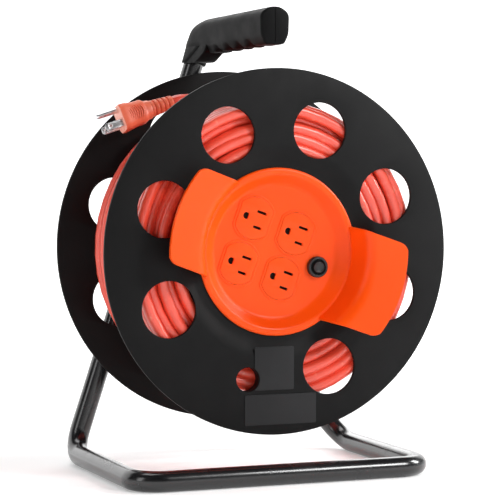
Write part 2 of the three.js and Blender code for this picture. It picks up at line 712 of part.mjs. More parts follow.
// The pin openings of one outlet, about its face's centre.
function pinOpenings() {
  const z0 = OUTLET_BACK_Z - CUT;
  const z1 = OUTLET_FACE_Z + CUT;
  const slot = (y, length) => block(
    SLOT_OFFSET - length / 2, y - SLOT_WIDTH / 2, z0,
    SLOT_OFFSET + length / 2, y + SLOT_WIDTH / 2, z1,
  );
  const groundEdge = GROUND_OFFSET + GROUND_RADIUS - 0.4;
  return union([
    slot(SLOT_SPACING / 2, LONG_SLOT), slot(-SLOT_SPACING / 2, SHORT_SLOT),
    moved(rod(GROUND_RADIUS, z0, z1, 12), GROUND_OFFSET, 0),
    block(GROUND_OFFSET, -GROUND_RADIUS, z0, groundEdge, GROUND_RADIUS, z1),
  ]);
}

function outlet() {
  const face = plate(outletOutline(0), STEP_Z - 2, OUTLET_FACE_Z, 6);
  const body = plate(outletOutline(-1.5), OUTLET_BACK_Z, STEP_Z - 1, 6);
  return face.add(body).subtract(pinOpenings());
}

const BUS_HALF_WIDTH = 3;
const BUS_THICKNESS = 1;
const LEAF_TOP_Z = 45;
const BUSES = {
  bus_neutral: { level: 34.5, leafX: SLOT_OFFSET, leafY: SLOT_SPACING / 2, leafSize: [6, 0.8], spineX: 24 },
  bus_hot: { level: 31.5, leafX: SLOT_OFFSET, leafY: -SLOT_SPACING / 2, leafSize: [6, 0.8], spineX: 30 },
  bus_ground: { level: 28.5, leafX: GROUND_OFFSET, leafY: 0, leafSize: [2.4, 2.4], spineX: 16 },
};

// One leaf of a bus in each outlet's opening, from height z0 to z1.
function busLeaves({ leafX, leafY, leafSize }, z0, z1, clearance = 0) {
  const halfX = leafSize[0] / 2 + clearance;
  const halfY = leafSize[1] / 2 + clearance;
  return OUTLET_CENTRES.map(([x, y]) => block(
    x + leafX - halfX, y + leafY - halfY, z0,
    x + leafX + halfX, y + leafY + halfY, z1,
  ));
}

// A bus strip joins the same contact of all four outlets. Its leaves stand in
// the openings from behind, and it makes room for the leaves of lower strips.
function busStrip(bus) {
  const { level, leafX, leafY, spineX } = bus;
  const top = level + BUS_THICKNESS;
  const arms = [OUTLET_Y + leafY, -OUTLET_Y + leafY];
  const strips = arms.map((y) => block(
    OUTLET_LEFT_X + leafX - BUS_HALF_WIDTH, y - BUS_HALF_WIDTH, level,
    spineX, y + BUS_HALF_WIDTH, top,
  ));
  const spine = block(
    spineX - 5, arms[1] - BUS_HALF_WIDTH, level,
    spineX, arms[0] + BUS_HALF_WIDTH, top,
  );
  const solid = union([...strips, spine, ...busLeaves(bus, level + BUS_THICKNESS / 2, LEAF_TOP_Z)]);
  const lower = Object.values(BUSES).filter((other) => other.level < level);
  const room = lower.flatMap((other) => busLeaves(other, level - CUT, top + CUT, 2 * GAP));
  return room.length ? solid.subtract(union(room)) : solid;
}

// A cup behind the bowl that closes in the live parts, with a gland hole.
function outletHousing() {
  const cup = turned([
    [0, HOUSING_BACK], [HOUSING_RADIUS, HOUSING_BACK], [HOUSING_RADIUS, STEP_Z],
    [HOUSING_RADIUS - 1.5, STEP_Z], [HOUSING_RADIUS - 1.5, HOUSING_BACK + 2], [0, HOUSING_BACK + 2],
  ], CORE_SEGMENTS);
  return cup.subtract(alongLead(rod(CORD_RADIUS + 2.5, HOUSING_RADIUS - 5, HOUSING_RADIUS + CUT, 20)));
}

const cordGland = () => alongLead(turned([
  [CORD_RADIUS + GAP, HOUSING_RADIUS - 4], [CORD_RADIUS + 2.2, HOUSING_RADIUS - 4],
  [CORD_RADIUS + 2.2, HOUSING_RADIUS + GAP], [10, HOUSING_RADIUS + GAP], [7.5, HOUSING_RADIUS + 9],
  [CORD_RADIUS + GAP, HOUSING_RADIUS + 9],
], 20));

// The cord's inner end, from the barrel's wall through the gland.
const innerLead = () => alongLead(rod(CORD_RADIUS, HOUSING_RADIUS - 8, CORE_RADIUS - GAP, 16));

// ---------------------------------------------------------------- circuit breaker

const BREAKER_TOP = FLOOR_Z + 4.6;
const BUTTON_TOP = FLOOR_Z + 6.2;
const BUTTON_BACK_Z = 44;

function breakerBody() {
  const box = block(BREAKER_X - 7, -12, 26, BREAKER_X + 7, 12, STEP_Z);
  const neck = moved(rod(BREAKER_NECK, STEP_Z - CUT, FLOOR_Z + 3.4), BREAKER_X, 0);
  const bore = moved(rod(BREAKER_BORE, BUTTON_BACK_Z - 2, FRONT_CUT[1]), BREAKER_X, 0);
  return box.add(neck).subtract(bore);
}

const breakerCollar = () => turned([
  [BREAKER_NECK + GAP, FLOOR_Z + GAP], [BREAKER_COLLAR, FLOOR_Z + GAP], [BREAKER_COLLAR, FLOOR_Z + 3.4],
  [BREAKER_COLLAR - 1, BREAKER_TOP], [BREAKER_NECK + GAP, BREAKER_TOP],
], 32).translate([BREAKER_X, 0, 0]);

const breakerButton = () => turned([
  [0, BUTTON_BACK_Z], [BREAKER_BORE - GAP, BUTTON_BACK_Z], [BREAKER_BORE - GAP, BUTTON_TOP - 1],
  [BREAKER_BORE - 1.3, BUTTON_TOP], [0, BUTTON_TOP],
], 32).translate([BREAKER_X, 0, 0]);

// ---------------------------------------------------------------- labels

const LABEL_Z = DRUM_HALF + GAP;

// Both labels stand upright when the drum is at rest, so they are turned back.
function label([x0, y0, x1, y1]) {
  const upright = block(x0, y0, LABEL_Z, x1, y1, LABEL_Z + LABEL_THICKNESS)
    .rotate([0, 0, THREE.MathUtils.radToDeg(-DRUM_TURN)]);
  return upright.subtract(parkingCut(GAP));
}

// ---------------------------------------------------------------- cord

const WINDING_HALF = FLANGE_INNER_FACE - 0.4;

const cordWinding = () => turned([
  [CORE_RADIUS + GAP, -WINDING_HALF], [LOWER_WINDING_RADIUS, -WINDING_HALF],
  [LOWER_WINDING_RADIUS, LAST_LAYER_Z], [WINDING_RADIUS, LAST_LAYER_Z], [WINDING_RADIUS, WINDING_HALF],
  [DISH_OUTER + 1, WINDING_HALF], [CORE_RADIUS + GAP, 57.5],
], 48);

const plugAxis = new THREE.Vector2(Math.cos(PLUG_ANGLE), Math.sin(PLUG_ANGLE));
const behindFace = (distance) => PLUG_FACE.clone().addScaledVector(plugAxis, -distance);

// Where the loose end runs, as [x, height, world y] about the axle, from the
// strain relief back to the winding.
const reliefEnd = behindFace(PLUG_LENGTH + RELIEF_LENGTH + 2 * GAP);
const TAIL_POINTS = [
  [reliefEnd.x, reliefEnd.y, PLUG_Y],
  [-50.5, 122.4, 37.4],
  [-46, 123, 37.7],
  [-36, 123.5, 38.3],
  [-24, 124.3, 39.2],
  [-8, 125.9, 40.3],
  [9, 125.8, 41.2],
  [26, 123.3, 41.8],
  [43, 118.4, 42],
];

// World positions about the axle are stated in the drum's turned frame.
function inDrumFrame([x, height, y]) {
  return vec(x, height, -y).applyAxisAngle(vec(0, 0, 1), -DRUM_TURN);
}

function cordTail() {
  const curve = new THREE.CatmullRomCurve3(TAIL_POINTS.map(inDrumFrame));
  return sweep(curve.getSpacedPoints(12), CORD_RADIUS, 12);
}

// The plug is made along +z with its face at z = 0 and its ground pin towards
// +x, then rolled and laid in place with the ground pin up.
function layPlug(solid) {
  const turn = THREE.MathUtils.radToDeg(PLUG_ANGLE - DRUM_TURN);
  const face = inDrumFrame([PLUG_FACE.x, PLUG_FACE.y, PLUG_Y]);
  return solid.rotate([0, 0, PLUG_ROLL]).rotate([0, 90, 0]).rotate([0, 0, turn]).translate(face.toArray());
}

function roundedRectangle(halfX, halfY, corner) {
  const shape = new THREE.Shape();
  shape.absarc(halfX - corner, -halfY + corner, corner, -Math.PI / 2, 0);
  shape.absarc(halfX - corner, halfY - corner, corner, 0, Math.PI / 2);
  shape.absarc(-halfX + corner, halfY - corner, corner, Math.PI / 2, Math.PI);
  shape.absarc(-halfX + corner, -halfY + corner, corner, Math.PI, 1.5 * Math.PI);
  return shape;
}

const BLADE_ROWS = [-SLOT_SPACING / 2, SLOT_SPACING / 2];

function blade(y, clearance = 0, z0 = PIN_SEAT, z1 = BLADE_LENGTH) {
  const halfX = BLADE_HALF_WIDTH + clearance;
  const halfY = BLADE_HALF_THICKNESS + clearance;
  return block(BLADE_X - halfX, y - halfY, z0, BLADE_X + halfX, y + halfY, z1);
}

const groundPin = () => moved(turned([
  [0, PIN_SEAT], [PIN_RADIUS, PIN_SEAT], [PIN_RADIUS, PIN_LENGTH - 2], [PIN_RADIUS / 2, PIN_LENGTH], [0, PIN_LENGTH],
], 16), GROUND_X, 0);

function plugBody() {
  const head = plate(roundedRectangle(11.3, 11, 5), -6, 0, 4);
  const waist = plate(roundedRectangle(9.6, 9.6, 4), -20, -5, 4);
  const heel = plate(roundedRectangle(7.8, 7.8, 4), -PLUG_LENGTH, -19, 4);
  return union([head, waist, heel]).subtract(union([
    ...BLADE_ROWS.map((y) => blade(y, GAP, PIN_SEAT - GAP, CUT)),
    moved(rod(PIN_RADIUS + GAP, PIN_SEAT - GAP, CUT, 16), GROUND_X, 0),
  ]));
}

const strainRelief = () => turned([
  [0, -PLUG_LENGTH - RELIEF_LENGTH], [CORD_RADIUS + 0.7, -PLUG_LENGTH - RELIEF_LENGTH],
  [7, -PLUG_LENGTH - GAP], [0, -PLUG_LENGTH - GAP],
], 20);

// ---------------------------------------------------------------- assembly

const drum = new THREE.Group();
drum.position.set(0, 0, AXLE_HEIGHT);
drum.rotation.x = Math.PI / 2;

const turnedDrum = new THREE.Group();
turnedDrum.rotation.z = DRUM_TURN;
drum.add(turnedDrum);

turnedDrum.add(
  piece('front_flange', frontFlange(), LOOKS.flange),
  piece('rear_flange', rearFlange(), LOOKS.flange),
  piece('core_barrel', coreBarrel(), LOOKS.inner),
  piece('front_bush', bush(1), LOOKS.white),
  piece('rear_bush', bush(-1), LOOKS.white),
  piece('outlet_bowl', outletBowl(), LOOKS.panel),
  piece('outlet_housing', outletHousing(), LOOKS.inner),
  piece('cord_gland', cordGland(), LOOKS.inner),
  piece('inner_lead', innerLead(), LOOKS.cord),
  piece('breaker_body', breakerBody(), LOOKS.inner),
  piece('breaker_collar', breakerCollar(), LOOKS.inner),
  piece('breaker_button', breakerButton(), LOOKS.inner),
  piece('rating_label', label(RATING_LABEL), LOOKS.label),
  piece('notice_label', label(NOTICE_LABEL), LOOKS.label),
  piece('cord_winding', cordWinding(), LOOKS.cord),
  piece('cord_tail', cordTail(), LOOKS.cord),
  piece('strain_relief', layPlug(strainRelief()), LOOKS.plug),
  piece('plug_body', layPlug(plugBody()), LOOKS.plug),
  ...BLADE_ROWS.map((y, k) => piece(`plug_blade_${k + 1}`, layPlug(blade(y)), LOOKS.steel)),
  piece('plug_ground_pin', layPlug(groundPin()), LOOKS.steel),
);

OUTLET_CENTRES.forEach(([x, y], k) => {
  turnedDrum.add(piece(`outlet_${k + 1}`, moved(outlet(), x, y), LOOKS.panel));
});

Object.keys(BUSES).forEach((name) => turnedDrum.add(piece(name, busStrip(BUSES[name]), LOOKS.brass)));

quarterTurns.forEach((angle, k) => {
  turnedDrum.add(
    piece(`bowl_screw_${k + 1}`, onCircle(bowlScrew(), BOWL_SCREW_CIRCLE, angle), LOOKS.steel),
    piece(`tie_screw_${k + 1}`, onCircle(tieScrew(), TIE_CIRCLE, angle), LOOKS.steel),
  );
});

const stand = new THREE.Group();
const grip = gripHalves();
stand.add(
  piece('stand_frame', standFrame(), LOOKS.tube),
  piece('stand_brace', standBrace(), LOOKS.tube),
  piece('grip_left', grip.left, LOOKS.grip),
  piece('grip_right', grip.right, LOOKS.grip),
  piece('axle', layOnAxle(axle()), LOOKS.steel),
  piece('axle_spacer', layOnAxle(axleSpacer()), LOOKS.inner),
  piece('axle_washer', layOnAxle(axleWasher()), LOOKS.steel),
  piece('axle_nut', layOnAxle(axleNut()), LOOKS.steel),
  piece('thrust_washer', layOnAxle(thrustWasher()), LOOKS.steel),
  piece('retaining_clip', layOnAxle(retainingClip()), LOOKS.steel),
);

GRIP_SCREWS.forEach((spot, k) => {
  stand.add(piece(`grip_screw_${k + 1}`, gripScrewSolid(spot, 0), LOOKS.steel));
});

rivetSpots.forEach((spot, k) => {
  stand.add(piece(`frame_rivet_${k + 1}`, rivet(0).translate(spot.toArray()), LOOKS.steel));
});

const reel = new THREE.Group();
reel.add(stand, drum);

// The origin is on the floor below the middle of the whole reel's box.
const box = new THREE.Box3().setFromObject(reel);
reel.position.y = -(box.min.y + box.max.y) / 2;

export default reel;
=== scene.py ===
"""Extension cord reel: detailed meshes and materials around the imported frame.

Lengths are millimetres in each piece's own frame, and the frame's matrix brings them to metres.
Drum frame: x right, y up, z out of the front, origin on the axle at the drum's middle.
Stand frame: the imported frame's own axes, with y = 0 at the drum's middle and z = 0 on the floor.
"""
import json
import math

import bmesh
import bpy
from mathutils import Matrix, Vector, noise
from mathutils.geometry import interpolate_bezier


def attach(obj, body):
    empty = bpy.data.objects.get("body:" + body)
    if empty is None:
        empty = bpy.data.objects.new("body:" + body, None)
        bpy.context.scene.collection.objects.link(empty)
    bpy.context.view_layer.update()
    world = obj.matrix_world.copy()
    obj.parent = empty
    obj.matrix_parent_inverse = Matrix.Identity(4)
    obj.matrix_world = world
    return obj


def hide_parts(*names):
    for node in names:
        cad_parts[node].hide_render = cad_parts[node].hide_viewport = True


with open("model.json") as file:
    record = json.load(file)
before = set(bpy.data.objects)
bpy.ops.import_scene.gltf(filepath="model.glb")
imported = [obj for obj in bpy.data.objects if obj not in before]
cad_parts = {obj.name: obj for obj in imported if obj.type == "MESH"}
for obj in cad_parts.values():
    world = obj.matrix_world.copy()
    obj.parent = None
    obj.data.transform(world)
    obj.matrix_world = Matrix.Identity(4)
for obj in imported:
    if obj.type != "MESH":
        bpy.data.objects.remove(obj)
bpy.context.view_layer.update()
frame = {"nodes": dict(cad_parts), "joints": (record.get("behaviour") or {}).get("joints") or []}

MM = 0.001
DRUM_TURN = math.radians(-20)
SPIN = next(j for j in frame["joints"] if j["name"] == "drum_spin")
AXLE_POINT = Vector(SPIN["pos_m"])
AXLE_HEIGHT = AXLE_POINT.z / MM

SCALE = Matrix.Scale(MM, 4)
LAY = Matrix.Translation(AXLE_POINT) @ Matrix.Rotation(math.pi / 2, 4, "X")
DRUM = LAY @ Matrix.Rotation(DRUM_TURN, 4, "Z") @ SCALE
UPRIGHT = LAY @ SCALE
STAND = Matrix.Translation((0, AXLE_POINT.y, 0)) @ SCALE


def placed(name, data):
    """A new object in the scene."""
    item = bpy.data.objects.new(name, data)
    bpy.context.collection.objects.link(item)
    return item


# ---------------------------------------------------------------- camera

CAMERA_AT = AXLE_POINT + Vector((-0.6770, -1.7001, 0.0972))
CAMERA_TILT = math.radians(-3.09)
CAMERA_TURN = math.radians(-21.72)
CAMERA_SENSOR = 36
CAMERA_LENS = 159


def make_camera():
    data = bpy.data.cameras.new("camera")
    data.sensor_width = CAMERA_SENSOR
    data.lens = CAMERA_LENS
    camera = placed("camera", data)
    camera.location = CAMERA_AT
    camera.rotation_euler = (math.pi / 2 + CAMERA_TILT, 0, CAMERA_TURN)
    bpy.context.scene.camera = camera


make_camera()

# Colours are shown without a film curve.
bpy.context.scene.view_settings.view_transform = "Standard"

# ---------------------------------------------------------------- materials


class Nodes:
    """A Principled material and short calls that wire its procedural detail."""

    def __init__(self, name, color, roughness, metallic=0.0, **sockets):
        self.material = bpy.data.materials.new(name)
        self.material.use_nodes = True
        self.tree = self.material.node_tree
        self.shader = self.tree.nodes["Principled BSDF"]
        self.color = color
        self.shader.inputs["Base Color"].default_value = (*color, 1)
        self.shader.inputs["Roughness"].default_value = roughness
        self.shader.inputs["Metallic"].default_value = metallic
        for socket, value in sockets.items():
            self.shader.inputs[socket.replace("_", " ")].default_value = value
        self.place = self.add("ShaderNodeTexCoord").outputs["Object"]
        self.height = None

    def add(self, kind, **settings):
        node = self.tree.nodes.new(kind)
        for key, value in settings.items():
            setattr(node, key, value)
        return node

    def link(self, source, target):
        self.tree.links.new(source, target)

    def noise(self, scale, detail=3.0, stretch=None):
        node = self.add("ShaderNodeTexNoise")
        node.inputs["Scale"].default_value = scale
        node.inputs["Detail"].default_value = detail
        place = self.place
        if stretch:
            mapping = self.add("ShaderNodeMapping")
            mapping.inputs["Scale"].default_value = stretch
            self.link(place, mapping.inputs["Vector"])
            place = mapping.outputs["Vector"]
        self.link(place, node.inputs["Vector"])
        return node.outputs["Fac"]

    def spread(self, factor, low, high, lo_in=0.3, hi_in=0.7):
        node = self.add("ShaderNodeMapRange")
        for key, value in (("From Min", lo_in), ("From Max", hi_in), ("To Min", low), ("To Max", high)):
            node.inputs[key].default_value = value
        self.link(factor, node.inputs["Value"])
        return node.outputs["Result"]

    def mix(self, factor, first, second, blend="MIX"):
        node = self.add("ShaderNodeMix", data_type="RGBA", blend_type=blend)
        for key, value in (("A", first), ("B", second)):
            socket = next(s for s in node.inputs if s.name == key and s.type == "RGBA")
            if isinstance(value, tuple):
                socket.default_value = (*value, 1)
            else:
                self.link(value, socket)
        self.link(factor, node.inputs["Factor"])
        return next(s for s in node.outputs if s.type == "RGBA")

    def tint(self, scale, amount):
        """Soft cloudy variation of the base colour."""
        darker = tuple(c * (1 - amount) for c in self.color)
        lighter = tuple(min(1, c * (1 + amount)) for c in self.color)
        factor = self.spread(self.noise(scale, 4), 0, 1)
        mixed = self.mix(factor, darker, lighter)
        self.link(mixed, self.shader.inputs["Base Color"])
        return mixed

    def roughen(self, scale, low, high, stretch=None):
        factor = self.spread(self.noise(scale, 3, stretch), low, high)
        self.link(factor, self.shader.inputs["Roughness"])

    def bump(self, scale, strength, distance=0.0002, detail=2.0, stretch=None):
        node = self.add("ShaderNodeBump")
        node.inputs["Strength"].default_value = strength
        node.inputs["Distance"].default_value = distance
        self.link(self.noise(scale, detail, stretch), node.inputs["Height"])
        if self.height:
            self.link(self.height, node.inputs["Normal"])
        self.height = node.outputs["Normal"]
        self.link(self.height, self.shader.inputs["Normal"])


def gloss_tube():
    """Gloss black powder coat, a little uneven."""
    look = Nodes("tube_black", (0.008, 0.008, 0.009), 0.24, Coat_Weight=0.5, Coat_Roughness=0.12)
    look.tint(14, 0.25)
    look.roughen(40, 0.2, 0.31)
    look.bump(240, 0.12, 0.00015)
    look.bump(28, 0.1, 0.0004)
    return look.material


def moulded(name, color, roughness, grain=900, depth=0.3, **sockets):
    """Moulded plastic: a fine spark-eroded grain and soft tone changes."""
    look = Nodes(name, color, sum(roughness) / 2, **sockets)
    look.tint(9, 0.1)
    look.roughen(55, *roughness)
    look.bump(grain, depth, 0.00012)
    look.bump(45, 0.05, 0.0004)
    return look.material


def orange_panel():
    """Satin orange plastic that lets a little light in."""
    look = Nodes("panel_orange", (0.96, 0.08, 0.002), 0.34,
                 Subsurface_Weight=0.05, Subsurface_Scale=0.004, Specular_IOR_Level=0.22)
    look.tint(11, 0.05)
    look.roughen(60, 0.3, 0.4)
    look.bump(1300, 0.16, 0.0001)
    look.bump(60, 0.04, 0.0004)
    return look.material


def cord_jacket():
    """Orange-red vinyl with pale scuffs."""
    look = Nodes("cord_jacket", (0.84, 0.066, 0.03), 0.36, Coat_Weight=0.9, Coat_Roughness=0.28)
    base = look.tint(26, 0.1)
    scuffs = look.spread(look.noise(180, 6), 0, 0.35, 0.6, 0.75)
    look.link(look.mix(scuffs, base, (0.95, 0.32, 0.2)), look.shader.inputs["Base Color"])
    look.roughen(90, 0.34, 0.52)
    look.bump(420, 0.2, 0.00015)
    look.bump(70, 0.12, 0.0004)
    return look.material


def metal(name, color, roughness):
    """Metal with fine drawing lines."""
    look = Nodes(name, color, sum(roughness) / 2, 1.0)
    along_z = (1, 1, 14)
    look.tint(30, 0.05)
    look.roughen(160, *roughness, along_z)
    look.bump(500, 0.03, 0.0001, 2, along_z)
    return look.material


def label_film():
    """Dark satin film with nothing printed on it."""
    look = Nodes("label_film", (0.012, 0.012, 0.013), 0.42, Specular_IOR_Level=0.25)
    look.tint(22, 0.12)
    look.roughen(120, 0.36, 0.48)
    look.bump(700, 0.08, 0.0001)
    return look.material


LOOKS = {
    "tube": gloss_tube(),
    "grip": moulded("grip_black", (0.004, 0.004, 0.0042), (0.52, 0.64), 700, Specular_IOR_Level=0.08),
    "flange": moulded("flange_charcoal", (0.0042, 0.0042, 0.0044), (0.5, 0.62), 800, Specular_IOR_Level=0.16),
    "panel": orange_panel(),
    "cord": cord_jacket(),
    "plug": moulded("plug_vinyl", (1.0, 0.2, 0.1), (0.38, 0.48), 600, 0.2),
    # The plug's face gets a paler copy of the plug's colour. This is a painted highlight; the real plug is
    # one colour.
    "plug_painted_highlight": moulded("plug_vinyl_painted_highlight", (1.0, 0.42, 0.32), (0.4, 0.5), 600, 0.2),
    "breaker": moulded("breaker_black", (0.012, 0.012, 0.013), (0.34, 0.46), 900, 0.2),
    "inner": moulded("inner_black", (0.005, 0.005, 0.005), (0.55, 0.65), Specular_IOR_Level=0.1),
    "bush": moulded("bush_nylon", (0.72, 0.7, 0.64), (0.35, 0.5), 500, 0.15),
    "steel": metal("plated_steel", (0.9, 0.9, 0.91), (0.24, 0.36)),
    "brass": metal("contact_brass", (0.72, 0.5, 0.2), (0.25, 0.4)),
    "label": label_film(),
}

# ---------------------------------------------------------------- mesh tools


def to_object(name, mesh, matrix, look, sharp=32):
    """Puts a mesh made in a piece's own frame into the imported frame, smooth but for its sharp edges."""
    mesh.transform(matrix)
    mesh.update()
    piece = placed(name, mesh)
    mesh.materials.clear()
    mesh.materials.append(LOOKS[look])
    for face in mesh.polygons:
        face.use_smooth = True
    mesh.set_sharp_from_angle(angle=math.radians(sharp))
    return piece


def finished(piece, body, slot, *nodes):
    """Fixes a piece to its body and takes the CAD nodes' place."""
    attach(piece, body)
    if nodes:
        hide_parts(*nodes)
    return piece


def mended(mesh, merge=None, dissolve=None):
    """Merges doubled points, dissolves faces of no area, and turns the faces outward."""
    work = bmesh.new()
    work.from_mesh(mesh)
    if merge:
        bmesh.ops.remove_doubles(work, verts=work.verts, dist=merge)
    if dissolve:
        bmesh.ops.dissolve_degenerate(work, edges=work.edges, dist=dissolve)
    bmesh.ops.recalc_face_normals(work, faces=work.faces)
    work.to_mesh(mesh)
    work.free()
    return mesh


def mesh_of(points, faces):
    mesh = bpy.data.meshes.new("part")
    mesh.from_pydata([tuple(p) for p in points], [], faces)
    return mended(mesh, merge=1e-5)


def moved(mesh, x, y=0.0):
    mesh.transform(Matrix.Translation((x, y, 0)))
    return mesh


def softened(corners, closed=True, steps=6):
    """Points of an outline whose corners (x, y, fillet) are rounded by a curve of that reach."""
    points = []
    count = len(corners)
    for i, (x, y, fillet) in enumerate(corners):
        here = Vector((x, y))
        if fillet == 0 or (not closed and i in (0, count - 1)):
            points.append(here)
            continue
        before = Vector(corners[i - 1][:2]) - here
        after = Vector(corners[(i + 1) % count][:2]) - here
        start = here + before.normalized() * min(fillet, before.length * 0.49)
        end = here + after.normalized() * min(fillet, after.length * 0.49)
        bend = interpolate_bezier(start.to_3d(), start.lerp(here, 0.6).to_3d(),
                                  end.lerp(here, 0.6).to_3d(), end.to_3d(), steps)
        points.extend(p.to_2d() for p in bend)
    return points


def rectangle(x0, y0, x1, y1, fillet=0, steps=6):
    return softened([(x0, y0, fillet), (x1, y0, fillet), (x1, y1, fillet), (x0, y1, fillet)], True, steps)


def turned(profile, segments=96):
    """A mesh turned about z from (radius, z) points, closed on itself or on the axis."""
    points = []
    for k in range(segments):
        angle = math.tau * k / segments
        points.extend(Vector((r * math.cos(angle), r * math.sin(angle), z)) for r, z in profile)
    n = len(profile)
    faces = []
    for k in range(segments):
        a, b = k * n, (k + 1) % segments * n
        for i in range(n):
            j = (i + 1) % n
            if profile[i][0] < 1e-6 and profile[j][0] < 1e-6:
                continue
            faces.append((a + i, b + i, b + j, a + j))
    return mended(mesh_of(points, faces), dissolve=1e-5)


def flat_plate(outlines, z0, z1, bevel):
    """A plate with holes, its edges rounded by bevel. The first outline is the outside."""
    curve = bpy.data.curves.new("plate", "CURVE")
    curve.dimensions = "2D"
    curve.fill_mode = "BOTH"
    curve.extrude = (z1 - z0) / 2 - bevel
    curve.bevel_depth = bevel
    curve.bevel_resolution = 2
    curve.offset = -bevel
    for outline in outlines:
        spline = curve.splines.new("POLY")
        spline.points.add(len(outline) - 1)
        for point, (x, y) in zip(spline.points, outline):
            point.co = (x, y, 0, 1)
        spline.use_cyclic_u = True
    holder = bpy.data.objects.new("plate", curve)
    mesh = bpy.data.meshes.new_from_object(holder)
    bpy.data.objects.remove(holder)
    mesh.transform(Matrix.Translation((0, 0, (z0 + z1) / 2)))
    return mended(mesh, merge=1e-4)


def circle(radius, x=0.0, y=0.0, steps=48):
    angles = [math.tau * k / steps for k in range(steps)]
    return [(x + radius * math.cos(a), y + radius * math.sin(a)) for a in angles]


def combined(mesh, others, operation):
    """The mesh joined with or cut by each of the others."""
    base = placed("base", mesh)
    helpers = [placed("helper", other) for other in others]
    for helper in helpers:
        step = base.modifiers.new("step", "BOOLEAN")
        step.operation = operation
        step.solver = "EXACT"
        step.object = helper
    bpy.context.view_layer.update()
    result = bpy.data.meshes.new_from_object(base.evaluated_get(bpy.context.evaluated_depsgraph_get()))
    for used in [base, *helpers]:
        bpy.data.objects.remove(used)
    return result


def swept(points, radius, sides=24):
    """A capped round bar along the points, without twist. Its radius is a number or a function."""
    points = [Vector(p) for p in points]
    rings = []
    normal = None
    for i, here in enumerate(points):
        ahead = points[min(i + 1, len(points) - 1)] - here
        behind = here - points[max(i - 1, 0)]
        along = (ahead.normalized() + behind.normalized()).normalized()
        if normal is None:
            normal = along.orthogonal().normalized()
        normal = (normal - along * normal.dot(along)).normalized()
        side = along.cross(normal)
        width = radius(i) if callable(radius) else radius
        angles = [math.tau * k / sides for k in range(sides)]
        rings.append([here + (normal * math.cos(a) + side * math.sin(a)) * width for a in angles])
    return lofted(rings)


def lofted(rings):
    """A closed skin over equal rings of points, capped at both ends."""
    sides = len(rings[0])
    faces = []
    for i in range(len(rings) - 1):
        for k in range(sides):
            m = (k + 1) % sides
            faces.append((i * sides + k, i * sides + m, (i + 1) * sides + m, (i + 1) * sides + k))
    faces.append(tuple(range(sides)))
    last = (len(rings) - 1) * sides
    faces.append(tuple(last + k for k in range(sides)))
    return mesh_of([p for ring in rings for p in ring], faces)


def smooth(t):
    """An even ramp from 0 to 1."""
    t = min(1, max(0, t))
    return t * t * (3 - 2 * t)


# ---------------------------------------------------------------- cord

GAP = 0.3  # between neighbouring pieces
CORD_RADIUS = 4.7
BARREL_RADIUS = 80
LEAD_Z = 30  # where the cord comes through the barrel
LEAD_ANGLE = math.radians(160)
FIRST_LAYER = BARREL_RADIUS + CORD_RADIUS
LAYER_STEP = 7.9  # less than the cord's diameter: turns nest, and press together where they cross
LAYER_SWELL = 0.105
LAYER_TURNS = 9.855
LAYERS = 4.87  # the last one is only part of a layer
END_Z = 56.2  # the cord's middle, at its nearest to a flange
EDGE_HOLD = 1.12  # the turns wait a little at each flange
CLIMB = 0.05  # share of a layer in which the cord climbs to the next
WANDER = 2.2  # sideways unevenness of the turns
LOOSENESS = 0.5  # outward unevenness
LEAD_TURNS = 0.5
SEAT_TURNS = 0.12  # in which the cord comes up through the barrel's wall
CLIMB_TURNS = 0.25
END_TURNS = 0.4  # in which the last turn comes round to the loose end
STEPS_PER_TURN = 48

PLUG_Y = 37.3
PLUG_FACE = Vector((-100.8, 106.6))
PLUG_ANGLE = math.radians(197.6)
PLUG_LENGTH = 28
PLUG_ROLL = math.radians(-76)
RELIEF_LENGTH = 20
PARKING_HOLE = (9.2, -105, 9.7)  # x, y and radius
SLEEVE_DEPTH = 6
DENT_REACH = 30  # how far from the hole the sleeve still pushes the turns back
DENT_EASE = 13

# The cord and the labels are made without the drum's turn, so they see the hole turned.
UPRIGHT_HOLE = (Matrix.Rotation(DRUM_TURN, 3, "Z") @ Vector((PARKING_HOLE[0], PARKING_HOLE[1], 0))).to_2d()

plug_axis = Vector((math.cos(PLUG_ANGLE), math.sin(PLUG_ANGLE)))
relief_end = PLUG_FACE - plug_axis * (PLUG_LENGTH + RELIEF_LENGTH + 2 * GAP)

# [x, height, y] about the axle, from the strain relief back to the winding.
TAIL_POINTS = [
    [relief_end.x, relief_end.y, PLUG_Y],
    [-50.5, 122.4, 37.4],
    [-46, 123, 37.7],
    [-36, 123.5, 38.3],
    [-24, 124.3, 39.2],
    [-8, 125.9, 40.3],
    [9, 125.8, 41.2],
    [26, 123.3, 41.8],
    [43, 118.4, 42],
]


def winding_place(turns, total):
    """Radius and z of the cord after so many turns: back and forth in layers, a little uneven."""
    layer = max(0, (turns - LEAD_TURNS) / LAYER_TURNS)
    k = math.floor(layer)
    within = layer - k
    held = min(1, max(0, (within - 0.5) * EDGE_HOLD + 0.5))
    z = END_Z * (1 - 2 * held) * (1 if k % 2 == 0 else -1)
    climb = smooth((within - (1 - CLIMB)) / CLIMB)
    radius = FIRST_LAYER + LAYER_STEP * (k + climb)
    wander = noise.noise(Vector((turns * 0.83, k * 7.1, 0.5)))
    looseness = noise.noise(Vector((turns * 1.7, k * 3.3, 9.5)))
    z += WANDER * wander * smooth((END_Z - abs(z)) / 8 + 0.1)
    radius += LOOSENESS * looseness + LAYER_SWELL * k
    if turns < LEAD_TURNS:
        z = LEAD_Z + (END_Z - LEAD_Z) * smooth(turns / LEAD_TURNS)
        radius = BARREL_RADIUS + CORD_RADIUS * smooth(turns / SEAT_TURNS)
    rise = smooth((turns - (total - END_TURNS)) / END_TURNS)
    last = Vector(TAIL_POINTS[-1][:2]).length
    z += (-TAIL_POINTS[-1][2] - z) * rise
    radius += (last - radius) * rise
    return radius, max(-END_Z, min(END_Z, z))


